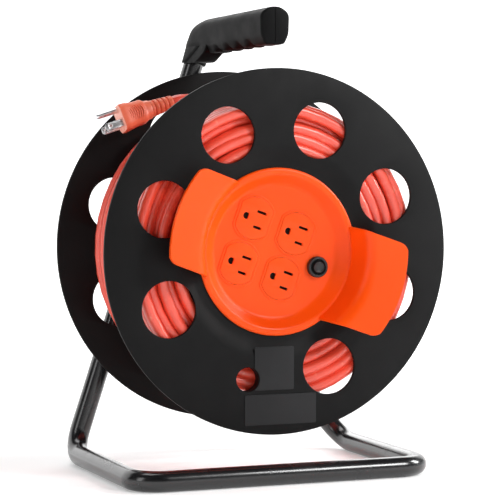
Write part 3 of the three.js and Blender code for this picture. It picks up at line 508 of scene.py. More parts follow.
def sleeve_dent(point):
    """Pushes the turns back where the parking hole's sleeve stands among them."""
    near = smooth((DENT_REACH - (point.to_2d() - UPRIGHT_HOLE).length) / DENT_EASE)
    level = END_Z - SLEEVE_DEPTH - 1
    return point - Vector((0, 0, max(0, point.z - level) * near))


def catmull(points, step):
    """Evenly stepped points on a smooth curve through the given ones."""
    padded = [points[0] * 2 - points[1], *points, points[-1] * 2 - points[-2]]
    out = []
    for a, b, c, d in zip(padded, padded[1:], padded[2:], padded[3:]):
        count = max(2, round((c - b).length / step))
        for i in range(count):
            t = i / count
            square, cube = 2 * a - 5 * b + 4 * c - d, 3 * b - a - 3 * c + d
            out.append(0.5 * (2 * b + (c - a) * t + square * t ** 2 + cube * t ** 3))
    return [*out, points[-1]]


def cord_path():
    """The cord's centreline about the axle, from the barrel's hole to the strain relief."""
    tail = [Vector((x, h, -y)) for x, h, y in TAIL_POINTS][::-1]
    end_angle = math.atan2(tail[0].y, tail[0].x)
    whole = round(LEAD_TURNS + LAYERS * LAYER_TURNS + CLIMB_TURNS)
    total = whole + (end_angle - LEAD_ANGLE) / math.tau
    points = []
    for i in range(round(total * STEPS_PER_TURN)):
        turns = i / STEPS_PER_TURN
        radius, z = winding_place(turns, total)
        angle = LEAD_ANGLE + math.tau * turns
        points.append(sleeve_dent(Vector((radius * math.cos(angle), radius * math.sin(angle), z))))
    return points + catmull(tail, 5)


def make_cord():
    """The cord as one curve, and the place where it leaves the barrel."""
    path = [UPRIGHT @ p for p in cord_path()]
    curve = bpy.data.curves.new("cord", "CURVE")
    curve.dimensions = "3D"
    curve.bevel_depth = CORD_RADIUS * MM
    curve.bevel_resolution = 6
    curve.use_fill_caps = True
    spline = curve.splines.new("POLY")
    spline.points.add(len(path) - 1)
    for point, place in zip(spline.points, path):
        point.co = (*place, 1)
    spline.use_smooth = True
    curve.materials.append(LOOKS["cord"])
    piece = placed("cord", curve)
    return finished(piece, "drum", "cord", "cord_winding", "cord_tail"), path[0]


cord, cord_exit = make_cord()

# ---------------------------------------------------------------- plug

# The plug is made along z with its face at z = 0, rolled, and laid on the winding.
PLUG = LAY @ Matrix.Translation((PLUG_FACE.x * MM, PLUG_FACE.y * MM, -PLUG_Y * MM)) \
    @ Matrix.Rotation(PLUG_ANGLE, 4, "Z") @ Matrix.Rotation(math.pi / 2, 4, "Y") \
    @ Matrix.Rotation(PLUG_ROLL, 4, "Z") @ SCALE
SLOT_SPACING = 12.7
BLADE_ROWS = (-SLOT_SPACING / 2, SLOT_SPACING / 2)
BLADE_X = -4.1
BLADE_LENGTH = 16
BLADE_HALF_WIDTH = 3.15
BLADE_HALF_THICKNESS = 0.75
BLADE_THINNING = 2.5  # length of the tip that thins
PIN_LENGTH = 19
PIN_RADIUS = 2.35
PIN_SEAT = -9.5  # how deep the blades and the pin sit in the plug
GROUND_X = 7.8


def rounded_ring(half_x, half_y, corner, z, per_corner=8):
    """One ring of a rounded rectangle at height z."""
    points = []
    for quarter, (sx, sy) in enumerate(((1, 1), (-1, 1), (-1, -1), (1, -1))):
        for i in range(per_corner):
            angle = math.pi / 2 * (quarter + i / (per_corner - 1))
            points.append(Vector((sx * (half_x - corner) + corner * math.cos(angle),
                                  sy * (half_y - corner) + corner * math.sin(angle), z)))
    return points


def plug_body():
    """Head with a rounded face, a waist for the fingers and a round heel."""
    stations = [
        (0, 10.4, 10.0, 4.4), (-0.35, 11.0, 10.6, 4.8), (-1.2, 11.3, 11.0, 5.0), (-5.5, 11.2, 10.8, 5.2),
        (-9, 10.6, 10.2, 5.6), (-12.5, 10.1, 9.7, 5.8), (-16, 9.9, 9.5, 6.0), (-18.8, 10.0, 9.6, 6.4),
        (-20.6, 9.8, 9.4, 6.8), (-22, 9.0, 8.8, 7.2), (-23.6, 8.3, 8.2, 7.8), (-27.2, 7.8, 7.8, 7.7),
        (-PLUG_LENGTH, 7.2, 7.2, 7.1),
    ]
    body = lofted([rounded_ring(x, y, corner, z) for z, x, y, corner in stations])
    wide, thick = BLADE_HALF_WIDTH + GAP, BLADE_HALF_THICKNESS + GAP
    openings = [rectangle(BLADE_X - wide, row - thick, BLADE_X + wide, row + thick) for row in BLADE_ROWS]
    openings.append(circle(PIN_RADIUS + GAP, GROUND_X, 0, 24))
    seats = [flat_plate([opening], PIN_SEAT - GAP, 1, 0.01) for opening in openings]
    skin = combined(body, seats, "DIFFERENCE")
    # The faces on the plug's front take the paler material, which paints a highlight on them.
    painted_highlight_faces = [face.center.z > -0.3 for face in skin.polygons]
    piece = to_object("plug_body_skin", skin, PLUG, "plug", 38)
    piece.data.materials.append(LOOKS["plug_painted_highlight"])
    for face, pale in zip(piece.data.polygons, painted_highlight_faces):
        face.material_index = int(pale)
    return piece


def plug_ribs():
    """Curved grip ribs on both sides of the plug's waist."""
    first, pitch, half_length, half_thickness, bow = -5.3, 1.9, 6.0, 0.62, 2.6

    def taper(i):
        return half_thickness * (0.25 + 0.75 * math.sin(math.pi * i / 12))

    work = bmesh.new()
    spots = [-1 + i / 6 for i in range(13)]
    for side in (1, -1):
        for k in range(7):
            y = side * (10.05 + 0.048 * abs(k - 3))
            arc = [(t * half_length, y, first - pitch * k - bow * (1 - t * t)) for t in spots]
            work.from_mesh(swept(arc, taper, 10))
    joined = bpy.data.meshes.new("ribs")
    work.to_mesh(joined)
    work.free()
    return to_object("plug_grip_ribs", joined, PLUG, "plug", 60)


def strain_relief():
    """A tapered sleeve with open slots between its rings."""
    start = -PLUG_LENGTH - GAP
    bore, wide, first_slot = CORD_RADIUS + 0.12, 7.1, 2.2
    profile = [(bore, start), (wide, start)]
    rings = 4
    pitch = (RELIEF_LENGTH - 3.2) / rings
    for k in range(rings):
        z = start - first_slot - k * pitch
        outer = wide - (wide - CORD_RADIUS - 0.9) * (first_slot + k * pitch) / RELIEF_LENGTH
        groove = outer - 1.25
        profile += [(outer, z + 0.25), (outer - 0.15, z), (groove, z - 0.1), (groove, z - 1.15),
                    (outer - 0.25, z - 1.25), (outer - 0.12, z - 1.5)]
    end = start - RELIEF_LENGTH
    profile += [(CORD_RADIUS + 0.9, end + 1), (CORD_RADIUS + 0.55, end), (bore, end)]
    return to_object("strain_relief_sleeve", turned(profile, 48), PLUG, "plug", 40)


def blade(name, y):
    """A folded flat blade with a round-cornered, thinned tip and its detent hole."""
    left, right = BLADE_X - BLADE_HALF_WIDTH, BLADE_X + BLADE_HALF_WIDTH
    outline = softened([(left, PIN_SEAT, 0), (right, PIN_SEAT, 0), (right, BLADE_LENGTH, 2.2),
                        (left, BLADE_LENGTH, 2.2)], True, 7)
    hole = circle(1.55, BLADE_X, 11.2, 20)
    mesh = flat_plate([outline, hole], -BLADE_HALF_THICKNESS, BLADE_HALF_THICKNESS, 0.22)
    for vertex in mesh.vertices:
        thin = smooth((vertex.co.y - (BLADE_LENGTH - BLADE_THINNING)) / BLADE_THINNING)
        vertex.co.z *= 1 - 0.55 * thin
    mesh.transform(Matrix.Translation((0, y, 0)) @ Matrix.Rotation(math.pi / 2, 4, "X"))
    return to_object(name + "_metal", mesh, PLUG, "steel", 30)


def ground_pin():
    """A round pin with a rounded tip."""
    profile = [(0, PIN_SEAT), (PIN_RADIUS, PIN_SEAT), (PIN_RADIUS, 14.5), (2.2, 16.2), (1.8, 17.6),
               (1.1, 18.6), (0.45, PIN_LENGTH), (0, PIN_LENGTH)]
    return to_object("plug_ground_pin_metal", moved(turned(profile, 32), GROUND_X), PLUG, "steel", 30)


plug_pieces = [
    finished(plug_body(), "drum", "plug", "plug_body"),
    finished(plug_ribs(), "drum", "plug"),
    finished(strain_relief(), "drum", "plug", "strain_relief"),
    finished(ground_pin(), "drum", "steel", "plug_ground_pin"),
]
for number, row in enumerate(BLADE_ROWS, 1):
    node = f"plug_blade_{number}"
    plug_pieces.append(finished(blade(node, row), "drum", "steel", node))

# ---------------------------------------------------------------- flanges

FLANGE_RADIUS = 147.5
DRUM_HALF = 64.4
FLANGE_THICKNESS = 3
INNER_FACE = DRUM_HALF - FLANGE_THICKNESS
HOLE_RADIUS = 22.7
HOLE_CIRCLE = 103.5
HUB_HOLE = 17
EIGHTHS = [math.tau * k / 8 for k in range(8)]
BOTTOM_HOLE = 6  # the front flange has the parking hole in its place
DISH_INNER = 69
DISH_OUTER = 88
DISH_FLOOR = 59.9
RIM_INNER = 61.3
EDGE = 0.45  # rounding of the flanges' edges


def hole_places(skipped=()):
    return [(HOLE_CIRCLE * math.cos(a), HOLE_CIRCLE * math.sin(a))
            for k, a in enumerate(EIGHTHS) if k not in skipped]


def flared_cutter(x, y, radius, steps=96):
    """A round cutter that flares past both faces, so that it leaves a small chamfer."""
    flare, wide, touch = radius + EDGE, radius + 4, 0.01
    below, above = INNER_FACE - 4, DRUM_HALF + 5.6
    profile = [(0, below), (wide + EDGE, below), (flare, INNER_FACE - touch), (radius, INNER_FACE + EDGE),
               (radius, DRUM_HALF - EDGE), (flare, DRUM_HALF + touch), (wide, above), (0, above)]
    return moved(turned(profile, steps), x, y)


def front_flange():
    """A disc that is dished round the bowl, with seven round holes and the sleeved parking hole."""
    steps = 14
    dish = []
    for k in range(steps + 1):
        wave = (1 - math.cos(math.pi * k / steps)) / 2
        dish.append((DISH_INNER + (DISH_OUTER - DISH_INNER) * k / steps,
                     DISH_FLOOR + (DRUM_HALF - DISH_FLOOR) * wave))
    under = [(r, z - FLANGE_THICKNESS) for r, z in dish]
    rim = [(FLANGE_RADIUS - EDGE, INNER_FACE), (FLANGE_RADIUS - 0.1, INNER_FACE + 0.15),
           (FLANGE_RADIUS, INNER_FACE + EDGE), (FLANGE_RADIUS, DRUM_HALF - EDGE),
           (FLANGE_RADIUS - 0.1, DRUM_HALF - 0.15), (FLANGE_RADIUS - EDGE, DRUM_HALF)]
    profile = [(RIM_INNER, DISH_FLOOR - FLANGE_THICKNESS), *under, *rim, *dish[::-1], (RIM_INNER, DISH_FLOOR)]
    cutters = [flared_cutter(x, y, HOLE_RADIUS) for x, y in hole_places([BOTTOM_HOLE])]
    cutters.append(flared_cutter(*PARKING_HOLE, 64))
    disc = combined(turned(profile, 256), cutters, "DIFFERENCE")
    return to_object("front_flange_disc", combined(disc, [parking_sleeve()], "UNION"), DRUM, "flange", 28)


def parking_sleeve():
    """The short collar moulded behind the parking hole, where a cord end is tucked in."""
    x, y, radius = PARKING_HOLE
    inner, outer = radius + 0.1, radius + 1.9
    back, front = INNER_FACE - SLEEVE_DEPTH, INNER_FACE + 0.6
    corners = [(inner, front, 0), (inner, back, 0.5), (outer, back, 0.5), (outer, front, 0)]
    return moved(turned(softened(corners, True, 4), 64), x, y)


def rear_flange():
    """A flat disc with eight round holes and the hub's hole."""
    outlines = [circle(FLANGE_RADIUS, steps=256), circle(HUB_HOLE, steps=64)]
    outlines += [circle(HOLE_RADIUS, x, y, 96) for x, y in hole_places()]
    disc = flat_plate(outlines, -DRUM_HALF, -INNER_FACE, EDGE)
    return to_object("rear_flange_disc", disc, DRUM, "flange", 28)


finished(front_flange(), "drum", "flange", "front_flange")
finished(rear_flange(), "drum", "flange", "rear_flange")

# ---------------------------------------------------------------- outlet bowl

FLOOR_Z = 54.9
FLOOR_RADIUS = 52.8
RIM_UNDERSIDE = 60.2
RIM_OUTER = 67.7
WING_HALF_WIDTH = 39.5
WING_TIP = 102.5
WING_CORNER = 10
WING_THICKNESS = 2.8
OUTLET_CENTRES = [(x, y) for y in (19.2, -19.2) for x in (-26.5, 12)]
OUTLET_RADIUS = 17.1
OUTLET_FLAT = 14.1
OUTLET_FACE_Z = FLOOR_Z + 0.9
SLOT_OFFSET = 5  # of the slots from the outlet's centre
SLOT_WIDTH = 2.1
LONG_SLOT = 8.2
SHORT_SLOT = 7
GROUND_OFFSET = -6.9
GROUND_RADIUS = 2.8
BREAKER_X = 38.9
BREAKER_BORE = 6.4
FLOOR_CUT = (49, 60)  # depth range of cutters through the bowl's floor


def wing_angle(radius):
    """Half the angle that the wing covers at a radius, from its outline in plan."""
    corner_y = WING_HALF_WIDTH - WING_CORNER
    corner_x = math.sqrt((WING_TIP - WING_CORNER) ** 2 - corner_y ** 2)

    def inside(angle):
        x, y = radius * math.cos(angle), radius * math.sin(angle)
        if y <= corner_y:
            return True
        if x <= corner_x:
            return y <= WING_HALF_WIDTH
        return math.hypot(x - corner_x, y - corner_y) <= WING_CORNER

    low, high = 0.0, math.pi / 3
    for _ in range(40):
        middle = (low + high) / 2
        low, high = (middle, high) if inside(middle) else (low, middle)
    return low


def wing(side):
    """A paddle that rises from the rim and folds outward, rounded along its edges."""
    fold = softened([(65.2, 60.9, 0), (66.8, 66, 2), (72.3, 84.0, 6.5), (WING_TIP - 0.4, 89.4, 0)], False, 12)
    fine = [fold[0]]
    for a, b in zip(fold, fold[1:]):
        count = max(1, round((b - a).length / 1.6))
        fine.extend(a.lerp(b, i / count) for i in range(1, count + 1))
    tip, outward = fine[-1], (fine[-1] - fine[-2]).normalized()
    tip_steps = [tip - outward * d for d in (3.2, 2.4, 1.6, 1.0, 0.5, 0.2)]
    fine = [p for p in fine[:-1] if p.x < tip_steps[0].x - 0.3] + tip_steps + [tip]
    across = 28
    points, faces = [], []
    for r, z in fine:
        half = wing_angle(r)
        for i in range(across + 1):
            t = -1 + 2 * i / across
            angle = half * t + (math.pi if side < 0 else 0)
            points.append(Vector((r * math.cos(angle), r * math.sin(angle), z)))
    row = across + 1
    for j in range(len(fine) - 1):
        for i in range(across):
            a = j * row + i
            faces.append((a, a + 1, a + row + 1, a + row))
    sheet = placed("wing", mesh_of(points, faces))
    thick = sheet.modifiers.new("thick", "SOLIDIFY")
    thick.thickness = WING_THICKNESS
    thick.offset = 0
    thick.use_even_offset = True
    edge = sheet.modifiers.new("edge", "BEVEL")
    edge.width = 0.85
    edge.segments = 3
    edge.limit_method = "ANGLE"
    edge.angle_limit = math.radians(55)
    mesh = bpy.data.meshes.new_from_object(sheet.evaluated_get(bpy.context.evaluated_depsgraph_get()))
    bpy.data.objects.remove(sheet)
    return mesh


def outlet_outline(grow, steps=20):
    """The round outlet face with two flat sides."""
    radius, flat = OUTLET_RADIUS + grow, OUTLET_FLAT + grow
    tilt = math.acos(flat / radius)
    sweep = math.pi - 2 * tilt
    angles = [start + sweep * i / steps for start in (tilt, math.pi + tilt) for i in range(steps + 1)]
    return [(radius * math.cos(a), radius * math.sin(a)) for a in angles]


def shifted(outline, x, y):
    return [(px + x, py + y) for px, py in outline]


def outlet_bowl():
    """The recessed bowl with its rim, both wings and a low boss round each outlet."""
    profile = softened([
        (0, FLOOR_Z - 2.5, 0), (FLOOR_RADIUS - 1, FLOOR_Z - 2.5, 2), (60.2, RIM_UNDERSIDE, 1.2),
        (RIM_OUTER, RIM_UNDERSIDE, 0.2), (RIM_OUTER, 61.5, 0.5), (66.2, 62.75, 1.2), (62.2, 62.75, 1.5),
        (54.0, 55.1, 4.2), (50.5, FLOOR_Z, 1.2), (0, FLOOR_Z, 0),
    ], False, 7)
    bowl = turned(profile, 192)
    bosses = [flat_plate([shifted(outlet_outline(1.95), x, y)], FLOOR_Z - 1.5, FLOOR_Z + 0.55, 0.3)
              for x, y in OUTLET_CENTRES]
    joined = combined(bowl, [wing(1), wing(-1), *bosses], "UNION")
    openings = [shifted(outlet_outline(0.22), x, y) for x, y in OUTLET_CENTRES]
    openings.append(circle(BREAKER_BORE, BREAKER_X, 0, 40))
    holes = [flat_plate([opening], *FLOOR_CUT, 0.01) for opening in openings]
    return to_object("outlet_bowl_shell", combined(joined, holes, "DIFFERENCE"), DRUM, "panel", 34)


def pin_slot(length, row):
    half = SLOT_WIDTH / 2
    return rectangle(SLOT_OFFSET - length / 2, row - half, SLOT_OFFSET + length / 2, row + half, 0.3, 3)


def ground_opening():
    """A round opening with one side cut flat."""
    angles = [math.radians(50 + 260 * i / 20) for i in range(21)]
    return [(GROUND_OFFSET + GROUND_RADIUS * math.cos(a), GROUND_RADIUS * math.sin(a)) for a in angles]


def outlet(number, x, y):
    """The outlet's face with its three openings, and the dark carrier behind it."""
    slots = [pin_slot(LONG_SLOT, SLOT_SPACING / 2), pin_slot(SHORT_SLOT, -SLOT_SPACING / 2)]
    outlines = [outlet_outline(0), *slots, ground_opening()]
    face = moved(flat_plate(outlines, 53.6, OUTLET_FACE_Z, 0.3), x, y)
    carrier = moved(flat_plate([outlet_outline(-1.5)], 45.6, 53.3, 0.3), x, y)
    node = f"outlet_{number}"
    finished(to_object(node + "_face", face, DRUM, "panel", 40), "drum", "panel", node)
    finished(to_object(node + "_carrier", carrier, DRUM, "inner", 40), "drum", "inner")


finished(outlet_bowl(), "drum", "panel", "outlet_bowl")
for number, (x, y) in enumerate(OUTLET_CENTRES, 1):
    outlet(number, x, y)

# ---------------------------------------------------------------- breaker


def breaker():
    """The collar on the bowl's floor and the button that moves in it."""
    collar = turned(softened([
        (6.3, FLOOR_Z + 0.2, 0), (8.6, FLOOR_Z + 0.2, 0), (8.6, FLOOR_Z + 3.9, 1.1),
        (7.3, FLOOR_Z + 4.6, 0.8), (6.3, FLOOR_Z + 4.0, 0.3),
    ], True, 5), 64)
    button = turned(softened([
        (0, 44, 0), (4.7, 44, 0), (4.7, FLOOR_Z + 5.6, 0.8), (3.9, FLOOR_Z + 6.2, 0.5),
        (2.9, FLOOR_Z + 5.6, 0.6), (0, FLOOR_Z + 5.4, 0),
    ], False, 5), 64)
    parts = ((collar, "breaker_collar", "drum"), (button, "breaker_button", "breaker_button"))
    for mesh, node, body in parts:
        piece = to_object(node + "_part", moved(mesh, BREAKER_X), DRUM, "breaker", 40)
        finished(piece, body, "breaker", node)


breaker()

# ---------------------------------------------------------------- labels

LABEL_Z = DRUM_HALF + GAP
LABEL_CORNER = 1.2


def label(name, x0, y0, x1, y1):
    """A blank film label, which stands upright at rest and is cut round the parking hole."""
    film = flat_plate([rectangle(x0, y0, x1, y1, LABEL_CORNER)], LABEL_Z, LABEL_Z + 0.3, 0.08)
    cutter = flat_plate([circle(PARKING_HOLE[2] + 0.6, *UPRIGHT_HOLE, 64)], 60, 70, 0.01)
    return to_object(name, combined(film, [cutter], "DIFFERENCE"), UPRIGHT, "label", 30)


finished(label("rating_label_film", -21.5, -111, 12.5, -76), "drum", "label", "rating_label")
finished(label("notice_label_film", -30, -139, 32, -114.5), "drum", "label", "notice_label")

# ---------------------------------------------------------------- stand

TUBE_RADIUS = 8.5
FOOT_FLAT = 0.35
FLOOR_TUBE_Z = TUBE_RADIUS - FOOT_FLAT
BASE_RIGHT_X = 119.5
BASE_HALF_Y = 87.5
LEG_LEAN = 0.332
GRIP_X = -9.8
GRIP_CORNER_Z = AXLE_HEIGHT + 176.6
GRIP_RISE = 0.0235
GRIP_FRONT_Y = -79.5
GRIP_REAR_Y = 97
JOINT_FROM_CORNER = 46
BEND_RADIUS = 22
REAR_BEND_RADIUS = 30
GRIP_BEND_RADIUS = 18
TUBE_END_COVER = 12  # of grip in front of the tube's end
TUBE_PLAY = 0.02  # keeps the tube inside the CAD model's box


def leg_x(z):
    """The left leg's x at a height."""
    return GRIP_X - (GRIP_CORNER_Z - z) * LEG_LEAN


def grip_z(y):
    """The height of the tube's middle inside the grip."""
    return GRIP_CORNER_Z + (BASE_HALF_Y - y) * GRIP_RISE


def bent(corners, steps=14):
    """Points along a tube bent through corners of (point, radius)."""
    points = [corners[0][0]]
    for (before, _), (at, radius), (after, _) in zip(corners, corners[1:], corners[2:]):
        arriving = (at - before).normalized()
        leaving = (after - at).normalized()
        turn = arriving.angle(leaving)
        start = at - arriving * radius * math.tan(turn / 2)
        inward = (leaving - arriving * math.cos(turn)).normalized()
        for k in range(steps + 1):
            a = turn * k / steps
            points.append(start + arriving * radius * math.sin(a) + inward * radius * (1 - math.cos(a)))
    return [*points, corners[-1][0]]


rear_left = Vector((leg_x(FLOOR_TUBE_Z), BASE_HALF_Y, FLOOR_TUBE_Z))
rear_right = Vector((BASE_RIGHT_X, BASE_HALF_Y, FLOOR_TUBE_Z))
axle_rear = Vector((0, BASE_HALF_Y, AXLE_HEIGHT))
brace_up = (axle_rear - rear_right).normalized()
tube_joint = rear_right + brace_up * JOINT_FROM_CORNER

# The brace's line meets the left leg's line here.
brace_run = brace_up.x / brace_up.z
meet_z = (leg_x(0) + AXLE_HEIGHT * brace_run) / (brace_run - LEG_LEAN)
brace_top = Vector((leg_x(meet_z), BASE_HALF_Y, meet_z))


def stand_frame():
    """One bent tube, from inside the grip down the left leg and round the base to the joint."""
    grip_end = GRIP_FRONT_Y + TUBE_END_COVER
    route = bent([
        (Vector((GRIP_X, grip_end, grip_z(grip_end))), 0),
        (Vector((GRIP_X, BASE_HALF_Y, GRIP_CORNER_Z)), GRIP_BEND_RADIUS),
        (rear_left, BEND_RADIUS),
        (Vector((rear_left.x, -BASE_HALF_Y, FLOOR_TUBE_Z)), BEND_RADIUS),
        (Vector((BASE_RIGHT_X, -BASE_HALF_Y, FLOOR_TUBE_Z)), BEND_RADIUS),
        (rear_right, REAR_BEND_RADIUS),
        (tube_joint, 0),
    ])
    mesh = swept(route, TUBE_RADIUS - TUBE_PLAY, 40)
    for vertex in mesh.vertices:
        vertex.co.z = max(0.0, vertex.co.z)
    return to_object("stand_frame_tube", mesh, STAND, "tube", 40)


def stand_brace():
    """The tube from the base's rear right, over the axle bolt, to the left leg, with a rounded foot."""
    foot = tube_joint + brace_up * GAP
    length = (brace_top - foot).length - TUBE_RADIUS - 0.4
    rounded, steps = 1.2, 24
    points = [foot, foot + brace_up * 0.3, foot + brace_up * rounded]
    points += [foot + brace_up * (rounded + (length - rounded) * k / steps) for k in range(1, steps + 1)]
    radii = [TUBE_RADIUS - 1.1, TUBE_RADIUS - 0.3] + [TUBE_RADIUS - TUBE_PLAY] * (len(points) - 2)
    mesh = swept(points, lambda i: radii[i], 40)
    return to_object("stand_brace_tube", mesh, STAND, "tube", 40)


def weld_bead():
    """The uneven bead where the brace meets the leg."""
    centre = brace_top - brace_up * (TUBE_RADIUS + 0.6)
    side = Vector((0, 1, 0))
    lift = brace_up.cross(side)
    ring = []
    for k in range(49):
        a = math.tau * k / 48
        saddle = 3.1 * math.sin(a) ** 2
        across = side * math.sin(a) * (TUBE_RADIUS - 0.4)
        upward = lift * math.cos(a) * (TUBE_RADIUS - 0.2)
        ring.append(centre + across + upward + brace_up * (saddle - 0.4))
    mesh = swept(ring, lambda i: 1.3 + 0.22 * math.sin(i * 2.1), 10)
    return to_object("brace_weld_bead", mesh, STAND, "tube", 60)


finished(stand_frame(), "stand", "tube", "stand_frame")
finished(stand_brace(), "stand", "tube", "stand_brace")
finished(weld_bead(), "stand", "tube")

# ---------------------------------------------------------------- grip

HALF_WIDTH = 12.4
SHOULDER = 9.3
TOP = 15.2
CHAMFER = -7.2
BOTTOM = -15
SOLE_HALF = 8
REAR_NARROWING = 14  # length over which the rear end narrows
REAR_ROUNDING = 20  # length over which its top comes down
GUSSET_CORNER_Y = 59.6
GUSSET_FRONT_Y = 45
GUSSET_RISE = 8.6
COLLAR_RADIUS = TUBE_RADIUS + 1.8
COLLAR_BOTTOM = AXLE_HEIGHT + 155
SCALLOP_COUNT = 4
SCALLOP_PITCH = 24
SCALLOP_FIRST_Y = -46
SCALLOP_REACH = 9.5
SCALLOP_DEPTH = 3


def grip_section(shrink=0.0):
    """The grip's outline across: domed top, upright sides, chamfered sole."""
    outline = softened([
        (-SOLE_HALF, BOTTOM, 2.2), (SOLE_HALF, BOTTOM, 2.2), (HALF_WIDTH - 0.5, CHAMFER, 3),
        (HALF_WIDTH, SHOULDER, 3.2), (HALF_WIDTH * 0.5, TOP - 0.9, 5), (0, TOP, 3),
        (-HALF_WIDTH * 0.5, TOP - 0.9, 5), (-HALF_WIDTH, SHOULDER, 3.2), (-HALF_WIDTH + 0.5, CHAMFER, 3),
    ], True, 5)
    return [p * (1 - shrink / HALF_WIDTH) for p in outline]


def finger_notch(y):
    """How far the sole is hollowed at this place along the grip."""
    for k in range(SCALLOP_COUNT):
        away = abs(y - (SCALLOP_FIRST_Y + SCALLOP_PITCH * k))
        if away < SCALLOP_REACH:
            return SCALLOP_DEPTH * (1 + math.cos(math.pi * away / SCALLOP_REACH)) / 2
    return 0


def quarter_round(y, length):
    """Rises from 0 to 1 along a quarter circle over the grip's last stretch."""
    t = max(0, y - (GRIP_REAR_Y - length)) / length
    return 1 - math.sqrt(max(0, 1 - t ** 2))


def grip_bar():
    """The grip lofted from front to rear, with finger notches below and a rounded rear."""
    stations = [(GRIP_FRONT_Y, 1.5), (GRIP_FRONT_Y + 0.25, 0.9), (GRIP_FRONT_Y + 0.8, 0.35),
                (GRIP_FRONT_Y + 1.6, 0.05)]
    count = 78
    first, last = GRIP_FRONT_Y + 2.5, GRIP_REAR_Y
    stations += [(first + (last - first) * k / count, 0.0) for k in range(count + 1)]
    rings = []
    for y, shrink in stations:
        narrow = 1 - 0.42 * quarter_round(y, REAR_NARROWING)
        drop = 9.5 * quarter_round(y, REAR_ROUNDING)
        notch = finger_notch(y)
        ring = []
        for p in grip_section(shrink):
            low = smooth((-p.y - 8) / 6)
            high = smooth((p.y + 2) / 12)
            lean = p.y * LEG_LEAN * smooth((y - 58) / 30)
            height = grip_z(y) + p.y + notch * low - drop * high
            ring.append(Vector((GRIP_X + p.x * narrow + lean, y, height)))
        rings.append(ring)
    return lofted(rings)


def grip_collar():
    """The socket round the leg, in line with it."""
    leg = Vector((LEG_LEAN, 0, 1)).normalized()
    foot = Vector((leg_x(COLLAR_BOTTOM), BASE_HALF_Y, COLLAR_BOTTOM))
    points, radii = [], []
    for along, radius in ((0, COLLAR_RADIUS - 0.9), (0.35, COLLAR_RADIUS - 0.3), (1.1, COLLAR_RADIUS),
                          (12, COLLAR_RADIUS), (20, COLLAR_RADIUS), (27, COLLAR_RADIUS - 0.5)):
        points.append(foot + leg * along)
        radii.append(radius)
    return swept(points, lambda i: radii[i], 40)


def grip_skirt():
    """Widens from the socket to the grip, leaning with the leg."""
    rings = []
    for k in range(13):
        t = k / 12
        z = COLLAR_BOTTOM + 0.6 + (GRIP_CORNER_Z - 8 - COLLAR_BOTTOM) * t
        half = COLLAR_RADIUS + 0.65 + 0.2 * t
        front, rear = 77 - 20 * t, BASE_HALF_Y + COLLAR_RADIUS - 0.8
        fillet = 10.4 - 1.4 * t
        outline = rectangle(-half, front, half, rear, fillet, 7)
        rings.append([Vector((leg_x(z) + p.x, p.y, z)) for p in outline])
    return lofted(rings)


def grip_gusset():
    """The web that fills the corner between the leg and the grip."""
    outline = softened([
        (BASE_HALF_Y, COLLAR_BOTTOM, 0), (GUSSET_CORNER_Y, COLLAR_BOTTOM, 3),
        (GUSSET_FRONT_Y, COLLAR_BOTTOM + GUSSET_RISE, 3), (GUSSET_FRONT_Y, GRIP_CORNER_Z, 0),
        (BASE_HALF_Y, GRIP_CORNER_Z, 0),
    ], True, 5)
    half = COLLAR_RADIUS - 1
    mesh = flat_plate([outline], -half, half, 1.2)
    for vertex in mesh.vertices:
        y, z, x = vertex.co
        vertex.co = (x + leg_x(z), y, z)
    return mesh


def screw_well(x, y, z):
    """A round recess in the right side, down to a screw's head."""
    well = turned([(0, 7.2), (3, 7.2), (3, 20), (0, 20)], 32)
    well.transform(Matrix.Translation((x, y, z)) @ Matrix.Rotation(math.pi / 2, 4, "Y"))
    return well


def seam_cutter():
    """A thin ring that leaves the parting groove between the two moulded halves."""
    past, depth, rear = 2, 0.45, GRIP_REAR_Y - 16
    outer = [(GRIP_FRONT_Y - past, BOTTOM - past), (GRIP_REAR_Y + past, BOTTOM - past),
             (GRIP_REAR_Y + past, TOP + 6), (GRIP_FRONT_Y - past, TOP + 6)]
    inner = [(GRIP_FRONT_Y + depth, BOTTOM + depth), (44, BOTTOM + depth), (44, BOTTOM + 12), (rear, 4),
             (rear, TOP - 3.4), (GRIP_REAR_Y - 24, TOP - 0.5), (GRIP_FRONT_Y + depth, TOP - depth)]
    mesh = flat_plate([outer, inner], -0.22, 0.22, 0.01)
    for vertex in mesh.vertices:
        y, up, x = vertex.co
        vertex.co = (x + GRIP_X, y, up + grip_z(y))
    return mesh


def grip():
    """Both halves as one shell, with its screw wells and parting groove."""
    body = combined(grip_bar(), [grip_collar(), grip_skirt(), grip_gusset()], "UNION")
    low_z = COLLAR_BOTTOM + 6
    cutters = [
        screw_well(GRIP_X, -10, grip_z(-10) - 11.6),
        screw_well(leg_x(low_z), 66, low_z),
        screw_well(GRIP_X, GRIP_FRONT_Y + 5, grip_z(GRIP_FRONT_Y)),
        seam_cutter(),
    ]
    return to_object("grip_shell", combined(body, cutters, "DIFFERENCE"), STAND, "grip", 36)


finished(grip(), "stand", "grip", "grip_left", "grip_right")

# ---------------------------------------------------------------- carried-over nodes

KEPT = {
    "axle": "steel", "axle_spacer": "inner", "axle_washer": "steel", "axle_nut": "steel",
    "thrust_washer": "steel", "retaining_clip": "steel", "core_barrel": "inner", "front_bush": "bush",
    "rear_bush": "bush", "outlet_housing": "inner", "cord_gland": "inner", "inner_lead": "cord",
    "breaker_body": "inner", "bus_neutral": "brass", "bus_hot": "brass", "bus_ground": "brass",
}


def dress_kept_nodes():
    """Gives their materials to the CAD nodes that no detailed piece replaces."""
    for name, node in frame["nodes"].items():
        look = KEPT.get(name)
        if "screw" in name or "rivet" in name:
            look = "steel"
        if look:
            node.data.materials.clear()
            node.data.materials.append(LOOKS[look])


dress_kept_nodes()

# ---------------------------------------------------------------- stage and light


